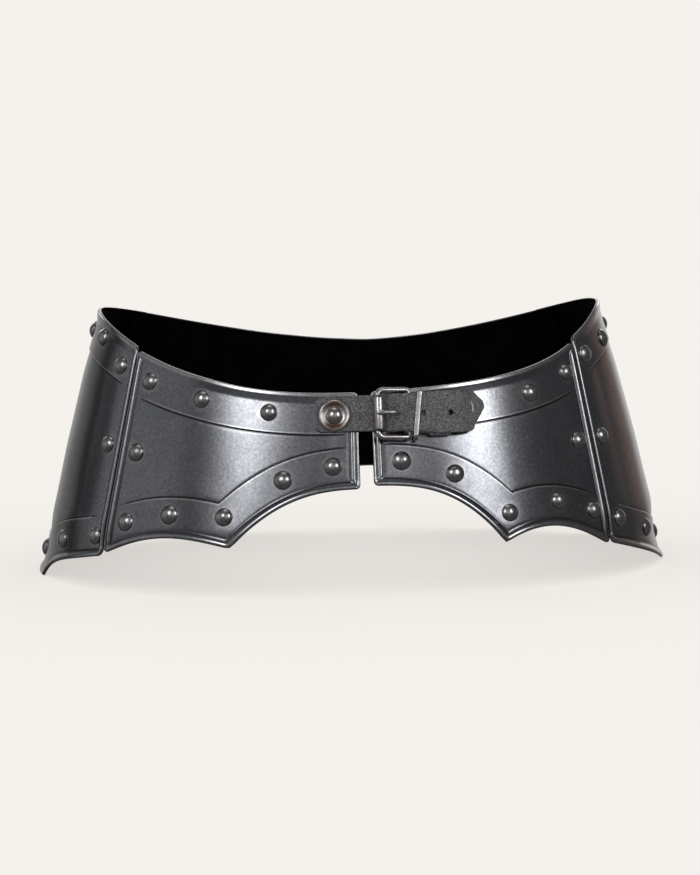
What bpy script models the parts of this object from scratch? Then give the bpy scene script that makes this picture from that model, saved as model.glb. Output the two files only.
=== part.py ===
"""Hip armour: five flared steel plates joined by hidden leather strips, closed in front by a strap and a buckle.

Metres, +Z up. The front faces -Y, and the origin is at the middle of the ring on the surface it stands on.
A place on a plate is given by its angle round the ring (degrees, 0 at the front, positive towards +X), its
height, and its distance out from the plate's face.
"""
import math

import bmesh
import bpy
import numpy as np
from mathutils import Matrix, Vector

# The ring: a rounded oval that leans in as it rises.
HALF_WIDTH = 0.2064          # at the floor
HALF_DEPTH = 0.1619          # at the floor
LEAN = 0.2564                # how far the wall comes in for each metre of height
OVAL_POWER = 2.2             # 2 is an ellipse, more is squarer
RING_SHIFT = -0.0033         # brings the middle of the whole over the origin
TUCK = 0.0026                # the foot of the wall is drawn in by this much
TUCK_HEIGHTS = (0.016, 0.042)
SKEW = 5.5                   # degrees that the low point of the back sits round towards +X

# Sheet, border and edges.
WALL = 0.0014
RIM_THICKNESS = 0.0022
BORDER = 0.025               # width of the raised border along the top and bottom edges
PLATE_SPACING = 0.0125       # between columns of a plate
STEP = 0.0010                # how far the field lies below the border
STEP_RUN = 0.0016
STEP_FADE = (0.009, 0.014)   # the step dies out this far from a seam
GAP_FADE = (0.0034, 0.0056)  # and this far from the front gap
CORNER, REAR_CORNER = 0.0028, 0.0010    # radius of the plates' corners, in front and at the back seams

# Edge sections: distance from the edge, and how far the face stands out there. The front plates turn out less
# along the bottom than the side and back plates do.
TOP_LIP = ((0.0, 0.0010), (0.0022, 0.0010), (0.0029, 0.0008), (0.0063, 0.0))
BOTTOM_LIP = ((0.0, 0.0034), (0.0020, 0.0026), (0.0048, 0.0009), (0.0080, 0.0))
FRONT_LIP = ((0.0, 0.0014), (0.0022, 0.0015), (0.0030, 0.0012), (0.0058, 0.0))
SIDE_BEAD = ((0.0, 0.0007), (0.0020, 0.0), (0.0036, 0.0012), (0.0054, 0.0))

# Heights of the plates' edges.
FRONT_TOP = 0.1236
FRONT_RISE, FRONT_RISE_POWER = 0.0440, 2.4
SIDE_RISE = 0.0464
BACK_TOP = 0.1374
BACK_RISE_POWER = 1.5
BACK_DROP = 0.0010           # the back plate ends this much below the side plates
HITCH, HITCH_REACH = 0.0010, 32.0    # beside the gap the right front plate stands higher, the left lower
POINT_ANGLE, POINT_HEIGHT = 23.1, 0.0305
SIDE_FOOT_END, HOOK_POWER = 81.0, 6.0
HOOK_COLUMNS = (0.0, 2.6, 6.2)       # degrees from the foot's end where a side plate has a column
SIDE_FLAT_END, SIDE_HEEL = 114.0, 0.0080
BACK_ARCH_TOP, BACK_ARCH_POWER = 0.0455, 2.2
BACK_POINT_ANGLE, BACK_POINT_HEIGHT = 24.0, 0.0110
BACK_SEAM_FOOT, BACK_SCALLOP = 0.0095, 0.0085

# Seams and the gap, in degrees. Left and right differ a little, as handwork does.
# "arch" is the lower edge's height at the gap and its power, "scallop" the swell of the lower edge beyond the
# point, "flank" the fall of a side plate's lower edge and the hook at its end. A rivet is an angle and its
# distance from the edge; along a seam it is the degrees from the seam, and the middle one gives its height.
GAP_HALF = 1.1
SEAM_CLEARANCE = 0.12
BACK_SEAM = 128.0
SLANT_HEIGHT = 0.0815        # the seams lean about this height
SLANT_REACH = 26.0           # degrees from the seam where the lean has died out
SIDES = {
    "left": {
        "sign": -1, "seam": 53.5, "slant": -2.0, "arch": (0.0656, 2.42), "foot": 0.0235, "scallop": (0.0085, 0.95),
        "flank": (0.0132, 0.0094),
        "front_top": ((17.2, 0.0131), (32.4, 0.0128)),
        "front_bottom": ((5.1, 0.0148), (13.9, 0.0147), (24.8, 0.0164), (36.7, 0.0143)),
        "side_top": ((72.7, 0.0096), (91.5, 0.0136)), "side_bottom": ((71.3, 0.0134), (90.5, 0.0145)),
        "front_seam": ((5.9, 0.0136), (5.3, 0.0858), (5.8, 0.0140)),
        "side_seam": ((6.0, 0.0162), (4.9, 0.0894), (3.3, 0.0128)),
    },
    "right": {
        "sign": 1, "seam": 50.9, "slant": 17.5, "arch": (0.0677, 2.56), "foot": 0.0193, "scallop": (0.0114, 0.80),
        "flank": (0.0213, 0.0),
        "front_top": ((17.2, 0.0155), (34.4, 0.0149)),
        "front_bottom": ((5.4, 0.0152), (14.9, 0.0145), (24.9, 0.0145), (37.0, 0.0155)),
        "side_top": ((70.6, 0.0176), (90.0, 0.0163)), "side_bottom": ((68.9, 0.0153), (89.0, 0.0145)),
        "front_seam": ((4.5, 0.0133), (4.7, 0.0867), (4.2, 0.0156)),
        "side_seam": ((4.9, 0.0141), (4.5, 0.0877), (4.5, 0.0164)),
    },
}

# Rivets.
RIVET_INSET = 0.0145         # from the top or bottom edge
RIVET_RADIUS = 0.0053
RIVET_RISE = 0.0033
SHANK_RADIUS = 0.0015
HOLE_RADIUS = 0.0019
BURR_RADIUS, BURR_HEIGHT = 0.0030, 0.0009
RIVET_SIDES = 7
HEAD_REACH = 1.7             # degrees to each side that a head covers
HOLE_SIDES = 6
FUSED_SIDES = 6               # the rear rivets are one with their plates
BACK_MIDDLE_RIVETS = 0.0860
SIDE_REAR_TOP_RIVETS = (106.5, 122.0)
SIDE_REAR_BOTTOM_RIVETS = (108.0, 123.0)
BACK_SEAM_RIVET = 122.5
BACK_RIVETS = {"top": (9.5, 28.0, 46.5), "middle": (46.5,), "bottom": (6.5, 18.5, 32.5, 46.5)}

# Leather strips behind the seams.
SEAM_LEATHER = 0.0020
SEAM_LEATHER_DEPTH = 0.0033  # from the plates' face to the leather
SEAM_LEATHER_HALF = 9.0      # degrees each side of the seam
SEAM_LEATHER_INSET, REAR_LEATHER_INSET = 0.0075, 0.0020    # from the edges' rounded corners

GAP = 0.0003                 # clearance between pieces

# Strap, in metres across the front from the middle of the gap.
STRAP = 0.0020
STRAP_MIDDLE = 0.1088        # of the holes and of the buckle
# Station: place across, lower edge, upper edge, height of the strap's back above the plate.
STRAP_STATIONS = (
    (-0.0302, 0.1010, 0.1176, 0.0009), (-0.0278, 0.0993, 0.1200, 0.0009), (-0.0240, 0.0992, 0.1206, 0.0009),
    (-0.0176, 0.0992, 0.1206, 0.0009), (-0.0096, 0.0993, 0.1206, 0.0009), (-0.0086, 0.0993, 0.1206, 0.0017),
    (0.0000, 0.0992, 0.1206, 0.0016), (0.0083, 0.0991, 0.1206, 0.0017), (0.0115, 0.0989, 0.1206, 0.0022),
    (0.0145, 0.0987, 0.1206, 0.0036), (0.0185, 0.0984, 0.1206, 0.0054), (0.0230, 0.0981, 0.1205, 0.0069),
    (0.0275, 0.0978, 0.1205, 0.0075), (0.0372, 0.0971, 0.1210, 0.0075), (0.0400, 0.0969, 0.1212, 0.0066),
    (0.0440, 0.0966, 0.1215, 0.0054), (0.0520, 0.0963, 0.1217, 0.0052), (0.0585, 0.0962, 0.1219, 0.0046),
    (0.0618, 0.0963, 0.1220, 0.0034), (0.0632, 0.0967, 0.1219, 0.0029), (0.0641, 0.0976, 0.1208, 0.0026),
    (0.0652, 0.0991, 0.1196, 0.0023), (0.0662, 0.1010, 0.1188, 0.0020), (0.0682, 0.1046, 0.1170, 0.0015),
    (0.0703, 0.1079, 0.1151, 0.0012), (0.0712, 0.1094, 0.1130, 0.0011),
)
PRONG_HOLE = 0.0177
HOLE_SPACING = 0.0171
STRAP_HOLE_RADIUS = 0.0015
PRONG_SLOT = (0.0056, 0.0032)
STRAP_RIVET_PLACE = -0.0188

# Section of the washer from its hole outwards and back, by radius and height.
WASHER_SECTION = ((0.0019, 0.0), (0.0092, 0.0), (0.0095, 0.0006), (0.0078, 0.0020), (0.0060, 0.0011),
                  (0.0019, 0.0010))

# Buckle, in the strap's measures; heights are from the plate to a bar's middle.
WIRE_RADIUS = 0.00145
END_BAR_RADIUS = 0.0011      # the bar inside the roller
END_BAR, HINGE_BAR = (0.0071, 0.0070), (0.0268, 0.0037)      # place across, height
FRAME_HALF_HEIGHT = 0.0142
FRAME_CORNERS = {"end": 0.0042, "hinge": 0.0022}
ROLLER_RADIUS, ROLLER_BORE, ROLLER_HALF_LENGTH = 0.0031, 0.0025, 0.0099
ROLLER_PLACE = 0.0082
CHAPE = 0.0016
CHAPE_LOW, CHAPE_HIGH = 0.0952, 0.1192
CHAPE_NARROW = 0.0973        # lower edge inside the frame and the keeper
CHAPE_FOLD = 0.0034          # outer radius of the fold round the hinge bar
CHAPE_MERGE = (0.0372, 0.0400)
CHAPE_END = 0.0520
CHAPE_SLOT = (0.0214, 0.0300, 0.0024)       # from, to, half its height
CHAPE_RIVET_PLACE = 0.0460
PRONG_RADIUS = 0.00075
PRONG_LOOP = 0.0024
PRONG_PATH = ((0.0228, 0.0050), (0.0196, 0.0053), (0.0172, 0.0072), (0.0148, 0.0097), (0.0115, 0.0111),
              (0.0085, 0.0115), (0.0064, 0.0109))
KEEPER_TOP, KEEPER_FOOT = (0.0312, 0.0104), (0.0322, 0.0035)
KEEPER_SLANT = 0.12
KEEPER_WIDTH, KEEPER_THICKNESS = 0.0032, 0.0011
KEEPER_RANGE = (0.0963, 0.1217)             # between its inner faces
KEEPER_CORNER = 0.0016                      # to the middle of its band

# Colours (red, green, blue), roughness and metallic.
STEEL = ((0.075, 0.080, 0.092), 0.24, 1.0)
RIVET_STEEL = ((0.085, 0.078, 0.072), 0.22, 1.0)
NICKEL = ((0.55, 0.50, 0.46), 0.20, 1.0)
LEATHER = ((0.018, 0.018, 0.020), 0.62, 0.0)
DARK_LEATHER = ((0.030, 0.024, 0.020), 0.70, 0.0)


# ---------------------------------------------------------------- scene and materials
def clear_scene():
    for item in list(bpy.data.objects):
        bpy.data.objects.remove(item, do_unlink=True)


def material(name, look):
    colour, roughness, metallic = look
    made = bpy.data.materials.get(name) or bpy.data.materials.new(name)
    made.use_nodes = True
    shader = made.node_tree.nodes["Principled BSDF"]
    shader.inputs["Base Color"].default_value = (*colour, 1.0)
    shader.inputs["Roughness"].default_value = roughness
    shader.inputs["Metallic"].default_value = metallic
    return made


def to_object(name, bm, look_name, look, crease=35.0):
    """A named object from a bmesh, shaded smooth except where its faces meet sharply."""
    bmesh.ops.recalc_face_normals(bm, faces=bm.faces)
    mesh = bpy.data.meshes.new(name)
    bm.to_mesh(mesh)
    bm.free()
    mesh.shade_smooth()
    mesh.set_sharp_from_angle(angle=math.radians(crease))
    mesh.materials.append(material(look_name, look))
    made = bpy.data.objects.new(name, mesh)
    bpy.context.scene.collection.objects.link(made)
    return made


def boolean(target, tool, operation):
    modifier = target.modifiers.new(f"{operation.lower()} {tool.name}", "BOOLEAN")
    modifier.operation = operation
    modifier.solver = "EXACT"
    modifier.object = tool
    tool.hide_render = True
    tool.display_type = "WIRE"


# ---------------------------------------------------------------- the ring's surface
def blend(value, start, end):
    """0 below start, 1 above end, smooth between."""
    share = min(max((value - start) / (end - start), 0.0), 1.0)
    return share * share * (3.0 - 2.0 * share)


def slanted(angle, height):
    """The front seams lean a little, so near them an angle drifts with height."""
    side = SIDES["right" if angle > 0 else "left"]
    near = blend(1.0 - abs(abs(angle) - side["seam"]) / SLANT_REACH, 0.0, 1.0)
    return angle + side["sign"] * side["slant"] * (height - SLANT_HEIGHT) * near


def on_ring(turn, height):
    """Point on the ring's face at a true angle."""
    tuck = TUCK * (1.0 - blend(height, *TUCK_HEIGHTS))
    half_width = HALF_WIDTH - LEAN * height - tuck
    half_depth = HALF_DEPTH - LEAN * height - tuck
    across, along = math.sin(math.radians(turn)), math.cos(math.radians(turn))
    power = 2.0 / OVAL_POWER
    x = half_width * math.copysign(abs(across) ** power, across)
    y = -half_depth * math.copysign(abs(along) ** power, along)
    return Vector((x, y + RING_SHIFT, height))


def square_to_ring(turn, height):
    """Unit vector square to the ring's face, pointing out."""
    small_turn, small_rise = 0.05, 0.0002
    round_ring = on_ring(turn + small_turn, height) - on_ring(turn - small_turn, height)
    up_wall = on_ring(turn, height + small_rise) - on_ring(turn, height - small_rise)
    return round_ring.cross(up_wall).normalized()


def place(angle, height, out=0.0):
    turn = slanted(angle, height)
    return on_ring(turn, height) + square_to_ring(turn, height) * out


def front_turn(x, height):
    share = abs(x) / (HALF_WIDTH - LEAN * height)
    return math.copysign(math.degrees(math.asin(share ** (OVAL_POWER / 2.0))), x)


def front_place(x, height, out=0.0):
    """The same, by the distance across the front."""
    turn = front_turn(x, height)
    return on_ring(turn, height) + square_to_ring(turn, height) * out


TRACK_ANGLES = np.linspace(-135.0, 240.0, 3751)
TRACK_POINTS = np.array([on_ring(a, SLANT_HEIGHT) for a in TRACK_ANGLES])
TRACK_LENGTHS = np.concatenate(([0.0], np.cumsum(np.linalg.norm(np.diff(TRACK_POINTS, axis=0), axis=1))))


def track(angle):
    """Distance along the ring at mid height."""
    return np.interp(angle, TRACK_ANGLES, TRACK_LENGTHS)


# ---------------------------------------------------------------- outlines of the plates
def skewed(angle):
    return angle + SKEW * (1.0 - math.cos(math.radians(angle))) / 2.0


def top_height(angle, rise):
    turn = math.radians(skewed(angle))
    if math.cos(turn) >= 0.0:
        return FRONT_TOP + rise * abs(math.sin(turn)) ** FRONT_RISE_POWER
    peak = FRONT_TOP + rise
    return peak - (peak - BACK_TOP) * (1.0 - abs(math.sin(turn)) ** BACK_RISE_POWER)


def front_top(angle):
    """Beside the gap the right front plate stands a little higher than the left one."""
    hitch = HITCH * math.sin(math.pi * min(abs(angle) / HITCH_REACH, 1.0))
    return top_height(angle, FRONT_RISE) + math.copysign(hitch, angle)


def front_bottom(angle):
    side = SIDES["right" if angle > 0 else "left"]
    turn = abs(angle)
    if turn <= POINT_ANGLE:
        arch_top, arch_power = side["arch"]
        return arch_top - (arch_top - POINT_HEIGHT) * (turn / POINT_ANGLE) ** arch_power
    scallop, scallop_power = side["scallop"]
    share = min((turn - POINT_ANGLE) / (side["seam"] - POINT_ANGLE), 1.0)
    line = POINT_HEIGHT + (side["foot"] - POINT_HEIGHT) * share
    return line + scallop * math.sin(math.pi * share ** scallop_power)


def side_bottom(angle):
    """A straight fall from the front seam to the foot, with a hook at its end on the left."""
    side = SIDES["right" if angle > 0 else "left"]
    turn = abs(angle)
    if turn < SIDE_FOOT_END:
        fall, hook = side["flank"]
        share = min((SIDE_FOOT_END - turn) / (SIDE_FOOT_END - side["seam"]), 1.0)
        return fall * share + hook * (1.0 - (1.0 - share) ** HOOK_POWER)
    if turn <= SIDE_FLAT_END:
        return 0.0
    return SIDE_HEEL * ((turn - SIDE_FLAT_END) / (BACK_SEAM - SIDE_FLAT_END)) ** 2


def back_bottom(angle):
    """The back plate's lower edge, by the angle from its own middle."""
    middle = 180.0 - SKEW
    turn = abs((angle % 360.0) - middle)
    if turn <= BACK_POINT_ANGLE:
        share = turn / BACK_POINT_ANGLE
        return BACK_ARCH_TOP - (BACK_ARCH_TOP - BACK_POINT_HEIGHT) * share ** BACK_ARCH_POWER
    share = min((turn - BACK_POINT_ANGLE) / (180.0 - BACK_SEAM - BACK_POINT_ANGLE), 1.0)
    line = BACK_POINT_HEIGHT + (BACK_SEAM_FOOT - BACK_POINT_HEIGHT) * share
    return line + BACK_SCALLOP * math.sin(math.pi * share)


class Plate:
    """One plate between two angles, with its top and bottom outlines."""

    def __init__(self, name, start, end, top, bottom, points=(), gap_edges=(), rear_edges=(),
                 lip=BOTTOM_LIP):
        self.name, self.start, self.end = name, start, end
        self.top_outline, self.bottom_outline = top, bottom
        self.corners = [REAR_CORNER if edge in rear_edges else CORNER for edge in (start, end)]
        self.points, self.gap_edges, self.lip = points, gap_edges, lip
        self.angles = np.linspace(start, end, 721)
        self.along = track(self.angles)
        self.tops = np.array([self.top(a) for a in self.angles])
        self.bottoms = np.array([self.bottom(a) for a in self.angles])

    def edge_distance(self, angle):
        here = track(angle)
        return min(here - track(self.start), track(self.end) - here)

    def rounding(self, angle):
        """How much a rounded corner takes off the height of an edge."""
        at_start = track(angle) - track(self.start) < track(self.end) - track(angle)
        corner = self.corners[0 if at_start else 1]
        reach = corner - self.edge_distance(angle)
        return corner - math.sqrt(corner ** 2 - reach ** 2) if reach > 0.0 else 0.0

    def top(self, angle):
        return self.top_outline(angle) - self.rounding(angle)

    def bottom(self, angle):
        return self.bottom_outline(angle) + self.rounding(angle)

    def inset(self, angle, distance, edge):
        """Height of the line that keeps a distance from the top or the bottom edge."""
        if distance == 0.0:
            return self.top(angle) if edge == "top" else self.bottom(angle)
        offset = self.along - track(angle)
        near = np.abs(offset) <= distance
        reach = np.sqrt(np.maximum(distance ** 2 - offset[near] ** 2, 0.0))
        if edge == "top":
            return float(np.min(self.tops[near] - reach))
        return float(np.max(self.bottoms[near] + reach))

    def columns(self, spacing):
        """Angles of the columns: the beads' own lines at both edges and even ones between."""
        lines = [distance for distance, _ in SIDE_BEAD]
        low, high = track(self.start), track(self.end)
        inner_low, inner_high = low + lines[-1], high - lines[-1]
        fixed = sorted({inner_low, inner_high} | {float(track(p)) for p in self.points})
        lengths = [low + d for d in lines[:-1]]
        for begin, finish in zip(fixed, fixed[1:]):
            count = max(1, round((finish - begin) / spacing))
            lengths += list(np.linspace(begin, finish, count, endpoint=False))
        lengths += [inner_high] + [high - d for d in reversed(lines[:-1])]
        return [float(np.interp(s, TRACK_LENGTHS, TRACK_ANGLES)) for s in lengths]

    def field_share(self, angle):
        """1 where the field lies below the border, 0 by an edge, where the step has died out."""
        here, share = track(angle), 1.0
        for edge in (self.start, self.end):
            fade = GAP_FADE if edge in self.gap_edges else STEP_FADE
            share *= blend(abs(here - track(edge)), *fade)
        return share

    def face(self, angle, from_top, from_bottom):
        """How far the outer face stands off the ring, by the distances from the edges."""
        lip = section(TOP_LIP, from_top) + section(self.lip, from_bottom)
        bead = section(SIDE_BEAD, self.edge_distance(angle))
        in_field = min(from_top, from_bottom) > BORDER
        sink = STEP * self.field_share(angle) if in_field else 0.0
        return (lip if abs(lip) > bead else bead) - sink


def section(profile, distance):
    return float(np.interp(distance, [d for d, _ in profile], [h for _, h in profile]))


# ---------------------------------------------------------------- solids
def shell_from_grids(name, outer, inner, look_name, look):
    """Closed shell between two grids of points with the same rows and columns."""
    bm = bmesh.new()
    rows, cols = len(outer), len(outer[0])
    faces = [[[bm.verts.new(p) for p in row] for row in grid] for grid in (outer, inner)]
    for grid in faces:
        for r in range(rows - 1):
            for c in range(cols - 1):
                bm.faces.new((grid[r][c], grid[r][c + 1], grid[r + 1][c + 1], grid[r + 1][c]))
    front, back = faces
    rim = [(r, 0) for r in range(rows)] + [(rows - 1, c) for c in range(1, cols)]
    rim += [(r, cols - 1) for r in range(rows - 2, -1, -1)] + [(0, c) for c in range(cols - 2, 0, -1)]
    for (r0, c0), (r1, c1) in zip(rim, rim[1:] + rim[:1]):
        bm.faces.new((front[r0][c0], front[r1][c1], back[r1][c1], back[r0][c0]))
    return to_object(name, bm, look_name, look)


def build_plate(plate, spacing):
    """The plate's rows follow its edges, so lips, border and field keep their widths; the rims are level."""
    columns = plate.columns(spacing)
    edge_rows = [d for d, _ in plate.lip] + [BORDER - STEP_RUN / 2, BORDER + STEP_RUN / 2]
    if plate.name.startswith("side"):
        edge_rows = sorted(edge_rows + list(TUCK_HEIGHTS))
    top_rows = [d for d, _ in TOP_LIP] + [BORDER - STEP_RUN / 2, BORDER + STEP_RUN / 2]
    outer, inner = [], []
    for edge, distances in (("bottom", edge_rows), ("top", top_rows[::-1])):
        for distance in distances:
            far = 1.0
            from_top, from_bottom = (distance, far) if edge == "top" else (far, distance)
            thickness = RIM_THICKNESS if distance == 0.0 else WALL
            outer_row, inner_row = [], []
            for angle in columns:
                height = plate.inset(angle, distance, edge)
                out = plate.face(angle, from_top, from_bottom)
                outer_row.append(place(angle, height, out))
                inner_row.append(place(angle, height, out - thickness))
                if distance == 0.0:
                    outer_row[-1].z = inner_row[-1].z = height
            outer.append(outer_row)
            inner.append(inner_row)
    return shell_from_grids(plate.name, outer, inner, "steel", STEEL)


def frame_at(origin, across, up, normal):
    return Matrix.Translation(origin) @ Matrix((across, up, normal)).transposed().to_4x4()


def frame_on(turn, height, origin):
    """Matrix whose Z points out of the ring and whose Y points up it."""
    normal = square_to_ring(turn, height)
    across = Vector((0.0, 0.0, 1.0)).cross(normal).normalized()
    return frame_at(origin, across, normal.cross(across), normal)


def ring_frame(angle, height, out=0.0):
    return frame_on(slanted(angle, height), height, place(angle, height, out))


def front_frame(x, height, out=0.0):
    return frame_on(front_turn(x, height), height, front_place(x, height, out))


def turned(bm, profile, sides, frame, closed=False):
    """Turned solid from (radius, height) points: ends on the axis, or closed on itself as a ring."""
    rings = []
    for radius, height in profile:
        if radius == 0.0:
            rings.append([bm.verts.new(frame @ Vector((0.0, 0.0, height)))])
            continue
        turns = [2.0 * math.pi * k / sides for k in range(sides)]
        rings.append([bm.verts.new(frame @ Vector((radius * math.cos(t), radius * math.sin(t), height)))
                      for t in turns])
    pairs = list(zip(rings, rings[1:])) + ([(rings[-1], rings[0])] if closed else [])
    for low, high in pairs:
        for k in range(sides):
            corners = [low[k % len(low)], low[(k + 1) % sides % len(low)],
                       high[(k + 1) % sides % len(high)], high[k % len(high)]]
            bm.faces.new(list(dict.fromkeys(corners)))


def rivet(name, frame, grip):
    """Domed head, shank through the sheet and a burr behind; grip is the depth that it holds together."""
    burr = -grip - GAP
    profile = [(0.0, GAP + RIVET_RISE), (0.72 * RIVET_RADIUS, GAP + 0.70 * RIVET_RISE), (RIVET_RADIUS, GAP),
               (SHANK_RADIUS, GAP), (SHANK_RADIUS, burr), (BURR_RADIUS, burr), (0.0, burr - BURR_HEIGHT)]
    bm = bmesh.new()
    turned(bm, profile, RIVET_SIDES, frame)
    return to_object(name, bm, "rivet steel", RIVET_STEEL, crease=60.0)


def cylinders(name, frames, radius, low, high, sides=HOLE_SIDES):
    """Cutter of several plain cylinders."""
    bm = bmesh.new()
    for frame in frames:
        turned(bm, [(0.0, high), (radius, high), (radius, low), (0.0, low)], sides, frame)
    return to_object(name, bm, "steel", STEEL)


def tube(name, path, radii, look_name, look, sides=8, closed=False):
    """Round bar along a path of points, with a radius for each."""
    bm = bmesh.new()
    rings, count, wide = [], len(path), None
    for i, point in enumerate(path):
        before = path[(i - 1) % count] if closed or i > 0 else point
        after = path[(i + 1) % count] if closed or i < count - 1 else point
        ahead = (after - before).normalized()
        if wide is None:
            wide = ahead.orthogonal()
        wide = (wide - ahead * wide.dot(ahead)).normalized()
        deep = ahead.cross(wide)
        turns = [2.0 * math.pi * k / sides for k in range(sides)]
        rings.append([bm.verts.new(point + radii[i] * (wide * math.cos(t) + deep * math.sin(t))) for t in turns])
    if closed:
        first = path[0] + radii[0] * wide
        shift = min(range(sides), key=lambda k: (rings[0][k].co - first).length)
        rings.append([rings[0][(k + shift) % sides] for k in range(sides)])
    for low, high in zip(rings, rings[1:]):
        for k in range(sides):
            bm.faces.new((low[k], low[(k + 1) % sides], high[(k + 1) % sides], high[k]))
    if not closed:
        bm.faces.new(rings[0])
        bm.faces.new(rings[-1])
    return to_object(name, bm, look_name, look, crease=60.0)


def prism(name, outline, low, high, look_name, look):
    """Outline of (place across, height off the plate) carried up the plate, from low at each place to high."""
    bm = bmesh.new()
    ends = [[bm.verts.new(front_place(x, level(x), out)) for x, out in outline] for level in (low, lambda x: high)]
    count = len(outline)
    for k in range(count):
        bm.faces.new((ends[0][k], ends[0][(k + 1) % count], ends[1][(k + 1) % count], ends[1][k]))
    for end in ends:
        bmesh.ops.triangulate(bm, faces=[bm.faces.new(end)])
    return to_object(name, bm, look_name, look)


# ---------------------------------------------------------------- plates and rivets
def make_plates():
    plates = {}
    for key, side in SIDES.items():
        sign, seam = side["sign"], side["seam"]
        cusp = POINT_ANGLE + 3.0
        front = sorted((sign * GAP_HALF, sign * (seam - SEAM_CLEARANCE)))
        plates[f"front_plate_{key}"] = Plate(
            f"front_plate_{key}", *front, front_top, front_bottom,
            points=(sign * POINT_ANGLE, sign * cusp), gap_edges=(sign * GAP_HALF,), lip=FRONT_LIP)
        rear = sign * (BACK_SEAM - SEAM_CLEARANCE)
        ends = sorted((sign * (seam + SEAM_CLEARANCE), rear))
        plates[f"side_plate_{key}"] = Plate(
            f"side_plate_{key}", *ends, lambda a: top_height(a, SIDE_RISE), side_bottom,
            points=[sign * (SIDE_FOOT_END - d) for d in HOOK_COLUMNS] + [sign * SIDE_FLAT_END],
            rear_edges=(rear,))
    middle = 180.0 - SKEW
    ends = (BACK_SEAM + SEAM_CLEARANCE, 360.0 - BACK_SEAM - SEAM_CLEARANCE)
    plates["back_plate"] = Plate(
        "back_plate", *ends, lambda a: top_height(a, SIDE_RISE) - BACK_DROP, back_bottom,
        points=(middle - BACK_POINT_ANGLE, middle + BACK_POINT_ANGLE), rear_edges=ends)
    return plates


def rivet_frame(plate, angle, height, reach=HEAD_REACH):
    """Frame at a rivet, seated on the highest part of the face within reach."""
    from_top = plate.inset(angle, 0.0, "top") - height
    from_bottom = height - plate.inset(angle, 0.0, "bottom")
    depth = RIVET_INSET if min(from_top, from_bottom) < BORDER else 2.0 * BORDER
    seat = max(plate.face(angle + shift, depth, depth) for shift in (-reach, 0.0, reach))
    return ring_frame(angle, height, seat)


def rivet_plan(plates):
    """The rivets that stand as pieces: name, plate, angle, height, and whether a leather strip lies behind."""
    found = []
    for key, side in SIDES.items():
        sign, seam = side["sign"], side["seam"]
        for where, plate in (("front", plates[f"front_plate_{key}"]), ("side", plates[f"side_plate_{key}"])):
            for row in ("top", "bottom"):
                for k, (angle, inset) in enumerate(side[f"{where}_{row}"]):
                    height = plate.inset(sign * angle, inset, row)
                    found.append((f"rivet_{where}_{key}_{row}_{k + 1}", plate, sign * angle, height, False))
            for row, (away, level) in zip(("top", "middle", "bottom"), side[f"{where}_seam"]):
                angle = sign * (seam - away if where == "front" else seam + away)
                height = level if row == "middle" else plate.inset(angle, level, row)
                found.append((f"rivet_{where}_{key}_seam_{row}", plate, angle, height, True))
    return found


def fused_rivets(plates):
    """Rear rivets, one with their plates: (plate, angle, height)."""
    rows = []
    for key, side in SIDES.items():
        flank = plates[f"side_plate_{key}"]
        rows += [(flank, side["sign"] * a, "top") for a in SIDE_REAR_TOP_RIVETS]
        rows += [(flank, side["sign"] * a, "bottom") for a in SIDE_REAR_BOTTOM_RIVETS]
        rows.append((flank, side["sign"] * BACK_SEAM_RIVET, "middle"))
    for row, angles in BACK_RIVETS.items():
        rows += [(plates["back_plate"], 180.0 + sign * a, row) for a in angles for sign in (-1, 1)]
    return [(plate, angle, BACK_MIDDLE_RIVETS if row == "middle" else plate.inset(angle, RIVET_INSET, row))
            for plate, angle, row in rows]


def seam_leather(name, seam, plates, inset=SEAM_LEATHER_INSET):
    """Flat strip behind a seam, from a little below the plates' tops to a little above their feet."""
    angles = np.linspace(seam - SEAM_LEATHER_HALF, seam + SEAM_LEATHER_HALF, 7)
    ends = []
    for edge in ("bottom", "top"):
        heights = []
        for angle in angles:
            near = min(plates, key=lambda p: abs((p.start + p.end) / 2.0 - angle))
            angle = min(max(angle, near.start), near.end)
            inward = inset if edge == "bottom" else -inset
            heights.append(near.inset(angle, 0.0, edge) + inward)
        smooth = np.polyval(np.polyfit(angles, heights, 2), angles)
        shift = max(np.array(heights) - smooth) if edge == "bottom" else min(np.array(heights) - smooth)
        ends.append(smooth + shift)
    rows = [ends[0] + (ends[1] - ends[0]) * share for share in (0.0, 0.1, 0.2, 0.32, 1.0)]
    grids = [[[place(a, h, -SEAM_LEATHER_DEPTH - deep) for a, h in zip(angles, row)] for row in rows]
             for deep in (0.0, SEAM_LEATHER)]
    return shell_from_grids(name, *grids, "dark leather", DARK_LEATHER)


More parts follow.
